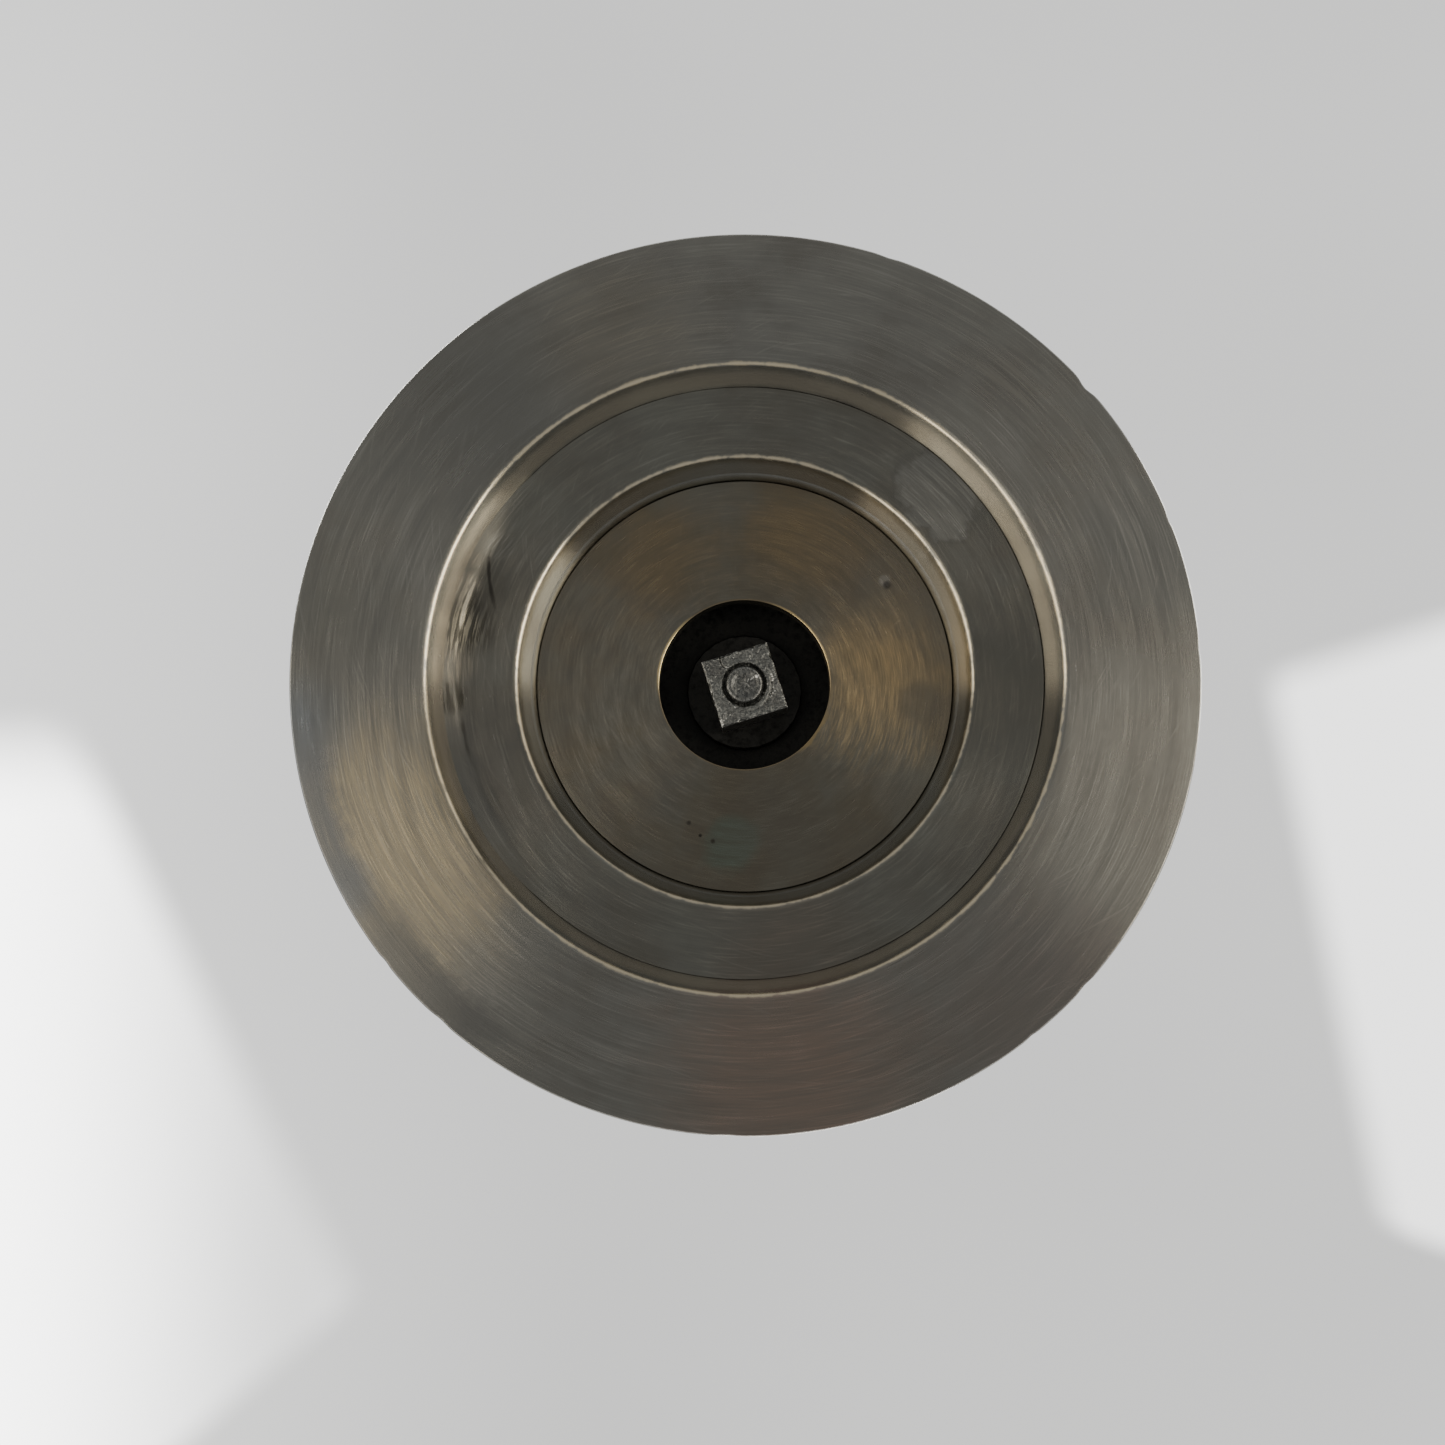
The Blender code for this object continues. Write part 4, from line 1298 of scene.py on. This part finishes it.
@dataclass
class Head:
    """The rounded head, its spigot and drive plate, and the adjusting knob on top."""

    head_radius: float = 23.5
    low: float = 81.3
    high: float = 103.0
    collar_radius: float = 19.6
    bore_radius: float = 13.1
    knob_radius: float = 11.0
    knob_low: float = 104.2
    knob_high: float = 112.0
    neck_radius: float = 8.6
    hole_radius: float = 2.7
    hole_top: float = 110.4
    flutes: int = 56
    per_flute: int = 8
    flute_depth: float = 0.42

    def build(self, shop: Workshop) -> None:
        """Make and dress the pieces."""
        shop.fit(self.cap(), HANDLED, Body.HEAD, Slot.PLATED, "head_cap")
        washer = flat_washer("knob_seat", 3.1, 7.0, 103.3, 103.9)
        shop.fit(washer, STEEL, Body.HEAD, Slot.STEEL, "knob_washer")
        shop.fit(self.knob(), BRASS, Body.KNOB, Slot.BRASS, "adjusting_knob")
        shop.dress(BRASS, "head_spigot")
        screws = [f"drive_plate_screw_{i}" for i in (1, 2, 3)]
        shop.dress(STEEL, "drive_plate", *screws)

    def cap(self) -> bpy.types.Object:
        """Turn the head."""
        bulge = arc((self.head_radius - 7.5, self.high - 8.0), (7.5, 8.0), -50, 90, 32)
        collar = self.collar_radius
        return turned("head_shell", eased([
            Corner(self.bore_radius, self.low, 0.2), Corner(collar - 0.4, self.low),
            Corner(collar, self.low + 0.4, 0.15), Corner(collar, self.low + 2.2, 0.15),
            Corner(collar - 0.6, self.low + 2.8, 0.3), Corner(collar - 1.2, self.low + 4.2, 0.7),
            *bulge, Corner(2.8, self.high, 0.2), Corner(2.8, 99.0), Corner(3.84, 99.0),
            Corner(3.84, 91.0), Corner(self.bore_radius, 91.0),
        ]))

    def fluted_ring(self, height: float, share: float) -> list[Vector]:
        """Return a ring of the knob's grip, with its flutes at a share of their depth."""
        def reach(angle: float) -> float:
            """Return the grip's radius in one direction."""
            dip = 0.5 + 0.5 * math.cos(angle * self.flutes)
            return self.knob_radius - 0.25 * (1.0 - share) - self.flute_depth * share * dip

        return polar_ring(reach, height, self.flutes * self.per_flute)

    def knob(self) -> bpy.types.Object:
        """Make the knob with its fluted grip and the blind hole for the thread."""
        grip, neck, low, high = self.knob_radius, self.neck_radius, self.knob_low, self.knob_high
        below = (
            (0.05, self.hole_top), (self.hole_radius, self.hole_top),
            (self.hole_radius, low + 0.2), (self.hole_radius + 0.2, low), (neck - 0.2, low),
            (neck, low + 0.2), (neck + 0.8, 105.1), (grip - 0.6, 105.5), (grip - 0.3, 105.8),
        )
        flutes = (
            (106.0, 0.0), (106.3, 0.9), (106.6, 1.0), (110.3, 1.0), (110.6, 0.9), (110.9, 0.0),
        )
        above = (
            (grip - 0.45, 111.3), (grip - 0.8, 111.6), (grip - 1.3, 111.88), (grip - 1.8, high),
            (grip - 5.0, high), (0.05, high),
        )
        count = self.flutes * self.per_flute
        return skinned("knob_shell", [
            *(round_ring(radius, height, count) for radius, height in below),
            *(self.fluted_ring(height, share) for height, share in flutes),
            *(round_ring(radius, height, count) for radius, height in above),
        ], closed=False)


# -------------------------------------------------- the floor, light and camera


@dataclass(frozen=True)
class Panel:
    """A glowing panel below the mill, with its corners given as slopes from the foot."""

    name: str
    slopes: tuple[Point, ...]
    strength: float


@dataclass(frozen=True)
class Lamp:
    """A soft square lamp above the mill, with its size in metres and its power in watts."""

    name: str
    place: Triple
    size: float
    power: float


@dataclass(frozen=True)
class Border:
    """One straight border of a sheen on the table: a point on it and the way that is lit."""

    point: Point
    facing: Point
    soft: float


@dataclass
class Studio:
    """The pale floor, the lights above and below it, and the camera under the foot."""

    floor_rings: tuple[float, ...] = (32.04, 60.0, 400.0, 4000.0)
    floor_segments: int = 128
    panel_depth: float = 1500.0
    table: Colour = (1.0, 1.0, 0.99)
    glow: Colour = (1.0, 0.925, 0.80)
    lamp_aim: Triple = (0.0, 0.0, 0.055)
    lens: float = 53.31
    sensor: float = 36.0
    camera_place: Triple = (-1.54, -3.48, 150.0)
    camera_tilts: Point = (-7.4, -0.6)
    panels: tuple[Panel, ...] = (
        Panel("near_left", (
            (-0.33, -0.085), (-0.75, -0.085), (-0.75, 0.4), (-0.31, 0.21), (-0.24, 0.12),
        ), 1.6),
        Panel("near_right", ((0.25, -0.15), (0.6, -0.24), (0.6, 0.16), (0.29, 0.09)), 0.83),
        Panel("far_left", ((-0.95, -0.25), (-2.4, -0.5), (-2.4, 3.0), (-0.95, 1.2)), 3.2),
        Panel("far_right", ((0.9, -0.27), (2.4, -0.38), (2.4, 1.2), (0.9, 0.5)), 5.8),
        Panel("low_right", ((0.9, -0.28), (0.9, -0.75), (2.4, -1.6), (2.4, -0.4)), 1.3),
    )
    lamps: tuple[Lamp, ...] = (
        Lamp("key", (-0.9, -0.8, 1.1), 0.8, 30.0), Lamp("fill", (1.2, -0.4, 0.7), 0.9, 14.0),
        Lamp("back", (0.3, 1.2, 1.0), 0.8, 16.0),
    )
    left_sheen: tuple[Border, ...] = (
        Border((-0.31, -0.107), (-0.879, 0.476), 0.014),
        Border((-0.179, 0.135), (-0.638, -0.77), 0.01),
        Border((-0.3, -0.112), (0.0, 1.0), 0.03),
    )
    right_sheen: tuple[Border, ...] = (
        Border((0.249, -0.15), (0.3, 0.954), 0.012),
        Border((0.249, -0.15), (0.985, -0.172), 0.012),
        Border((0.293, 0.102), (0.343, -0.939), 0.008),
    )
    left_glow: Border = Border((-0.24, 0.0), (-1.0, 0.12), 0.16)

    def build(self) -> None:
        """Set up everything around the mill."""
        self.floor()
        self.world()
        for panel in self.panels:
            self.hang_panel(panel)
        for lamp in self.lamps:
            self.hang_lamp(lamp)
        self.camera()

    def floor(self) -> None:
        """Lay a pale floor that hides nothing from below."""
        count = self.floor_segments
        points = [
            point * MM for radius in self.floor_rings for point in round_ring(radius, 0.0, count)
        ]
        faces = []
        for row in range(len(self.floor_rings) - 1):
            for i in range(count):
                j = (i + 1) % count
                low, high = row * count, (row + 1) * count
                faces.append((low + i, high + i, high + j, low + j))
        mesh = bpy.data.meshes.new("pale_floor")
        mesh.from_pydata(points, [], faces)
        mesh.materials.append(self.floor_finish())
        placed("pale_floor", mesh)

    def floor_finish(self) -> bpy.types.Material:
        """Return a matt pale finish that can be seen from above only."""
        material, graph, shader = new_material("pale_matt")
        where = graph.node("ShaderNodeTexCoord").outputs["Object"]
        cloud = graph.noise(where, 6.0, 3.0)
        tone = graph.mix(cloud, (0.6, 0.6, 0.59), (0.7, 0.7, 0.69))
        graph.feed(shader.inputs["Base Color"], tone)
        shader.inputs["Roughness"].default_value = 0.9
        haze = graph.node("ShaderNodeEmission", {"Color": full(self.table)})
        far = graph.smooth(graph.length(where), 0.3, 2.2)
        faded = graph.node(
            "ShaderNodeMixShader", {0: far, 1: shader.outputs[0], 2: haze.outputs[0]},
        )
        behind = graph.node("ShaderNodeNewGeometry").outputs["Backfacing"]
        direct = graph.node("ShaderNodeLightPath").outputs["Is Camera Ray"]
        clear = graph.node("ShaderNodeBsdfTransparent")
        mixed = graph.node("ShaderNodeMixShader", {
            0: graph.times(behind, direct), 1: faded.outputs[0], 2: clear.outputs[0],
        })
        graph.feed(graph.tree.nodes["Material Output"].inputs["Surface"], mixed.outputs[0])
        return material

    def world(self) -> None:
        """Fill the surroundings: pale to look at, and dim below and brighter above as light."""
        world = bpy.data.worlds.new("studio")
        bpy.context.scene.world = world
        world.use_nodes = True
        graph = Graph(world.node_tree)
        x, y, z = graph.split(graph.node("ShaderNodeTexCoord").outputs["Generated"])
        below = graph.times(z, -1.0)
        dim = graph.mix(graph.smooth(below, 0.65, 0.93), (0.46, 0.455, 0.44), (0.28, 0.28, 0.275))
        dim = graph.mix(graph.smooth(below, 0.93, 0.995), dim, (0.22, 0.22, 0.215))
        sky = graph.mix(graph.smooth(z, 0.1, 0.9), (0.42, 0.43, 0.45), (0.95, 0.95, 0.96))
        light = graph.mix(graph.smooth(z, -0.05, 0.15), dim, sky)
        direct = graph.node("ShaderNodeLightPath").outputs["Is Camera Ray"]
        shown = graph.mix(direct, light, self.table_tone(graph, x, y, z))
        background = world.node_tree.nodes["Background"]
        graph.feed(background.inputs["Color"], shown)
        background.inputs["Strength"].default_value = 1.0

    def table_tone(self, graph: Graph, x: object, y: object, z: object) -> object:
        """Return the pale tone seen around the mill, with the panels' sheen low on it.

        Args:
            graph: the world's graph.
            x: first part of the direction looked in.
            y: second part of the direction.
            z: third part of the direction.

        Returns:
            The colour to show.
        """
        climb = graph.math("MAXIMUM", graph.math("ABSOLUTE", z), 0.05)
        across, along = graph.over(x, climb), graph.over(y, climb)
        slope = graph.join(across, along)
        near = graph.minus(1.0, graph.smooth(graph.length(slope), 0.5, 0.8))

        def lit(border: Border) -> object:
            """Return 1 on the lit side of a border and 0 on the other."""
            (px, py), (fx, fy) = border.point, border.facing
            reach = graph.plus(graph.times(across, fx), graph.times(along, fy))
            start = px * fx + py * fy
            return graph.smooth(reach, start - border.soft, start + border.soft)

        strength = graph.ranged(graph.smooth(across, -0.37, -0.2), 4.6, 0.5)
        left = graph.times(*map(lit, self.left_sheen), strength, near)
        right = graph.times(*map(lit, self.right_sheen), near)
        tone = graph.blend(near, 1.0, graph.ranged(graph.noise(slope, 3.0, 1.0), 0.9, 1.12))
        tone = graph.plus(tone, graph.times(lit(self.left_glow), near, 0.45))
        tone = graph.plus(tone, left)
        tone = graph.plus(tone, graph.times(right, 1.6))
        return graph.dimmed(self.table, tone)

    def hang_panel(self, panel: Panel) -> None:
        """Hang a glowing panel below the mill."""
        depth = self.panel_depth * MM
        mesh = bpy.data.meshes.new(panel.name)
        points = [(x * depth, y * depth, -depth) for x, y in panel.slopes]
        mesh.from_pydata(points, [], [tuple(range(len(points)))])
        material, graph, _ = new_material(panel.name)
        glow = graph.node(
            "ShaderNodeEmission", {"Color": full(self.glow), "Strength": panel.strength},
        )
        graph.feed(graph.tree.nodes["Material Output"].inputs["Surface"], glow.outputs[0])
        mesh.materials.append(material)
        placed(panel.name, mesh)

    def hang_lamp(self, lamp: Lamp) -> None:
        """Hang a soft square lamp that looks at the middle of the mill."""
        data = bpy.data.lights.new(lamp.name, "AREA")
        data.energy = lamp.power
        data.size = lamp.size
        made = placed(lamp.name, data)
        made.location = lamp.place
        aim = Vector(self.lamp_aim) - Vector(lamp.place)
        made.rotation_euler = aim.to_track_quat("-Z", "Y").to_euler()

    def camera(self) -> None:
        """Put the camera under the foot, looking up at it."""
        about_x, about_y = (math.radians(tilt) for tilt in self.camera_tilts)
        tilt = Matrix.Rotation(about_x, 3, "X") @ Matrix.Rotation(about_y, 3, "Y")
        flip = Matrix(((1, 0, 0), (0, -1, 0), (0, 0, -1)))
        turn = flip @ tilt.transposed()
        data = bpy.data.cameras.new("camera")
        data.lens = self.lens
        data.sensor_width = self.sensor
        data.clip_start = 0.01
        data.clip_end = 20.0
        camera = placed("camera", data)
        place = turn @ Vector(self.camera_place) * MM
        camera.matrix_world = Matrix.Translation(place) @ turn.to_4x4()
        bpy.context.scene.camera = camera


def main() -> None:
    """Build the mill's pieces in order, and what stands around them."""
    logging.basicConfig(level=logging.INFO, format="%(message)s")
    shop = Workshop(Effects())
    for assembly in (Foot(), Grinder(), Barrel(), Head()):
        LOG.info("%s", type(assembly).__doc__)
        assembly.build(shop)
    Studio().build()
    bpy.context.view_layer.update()


if __name__ == "__main__":
    main()
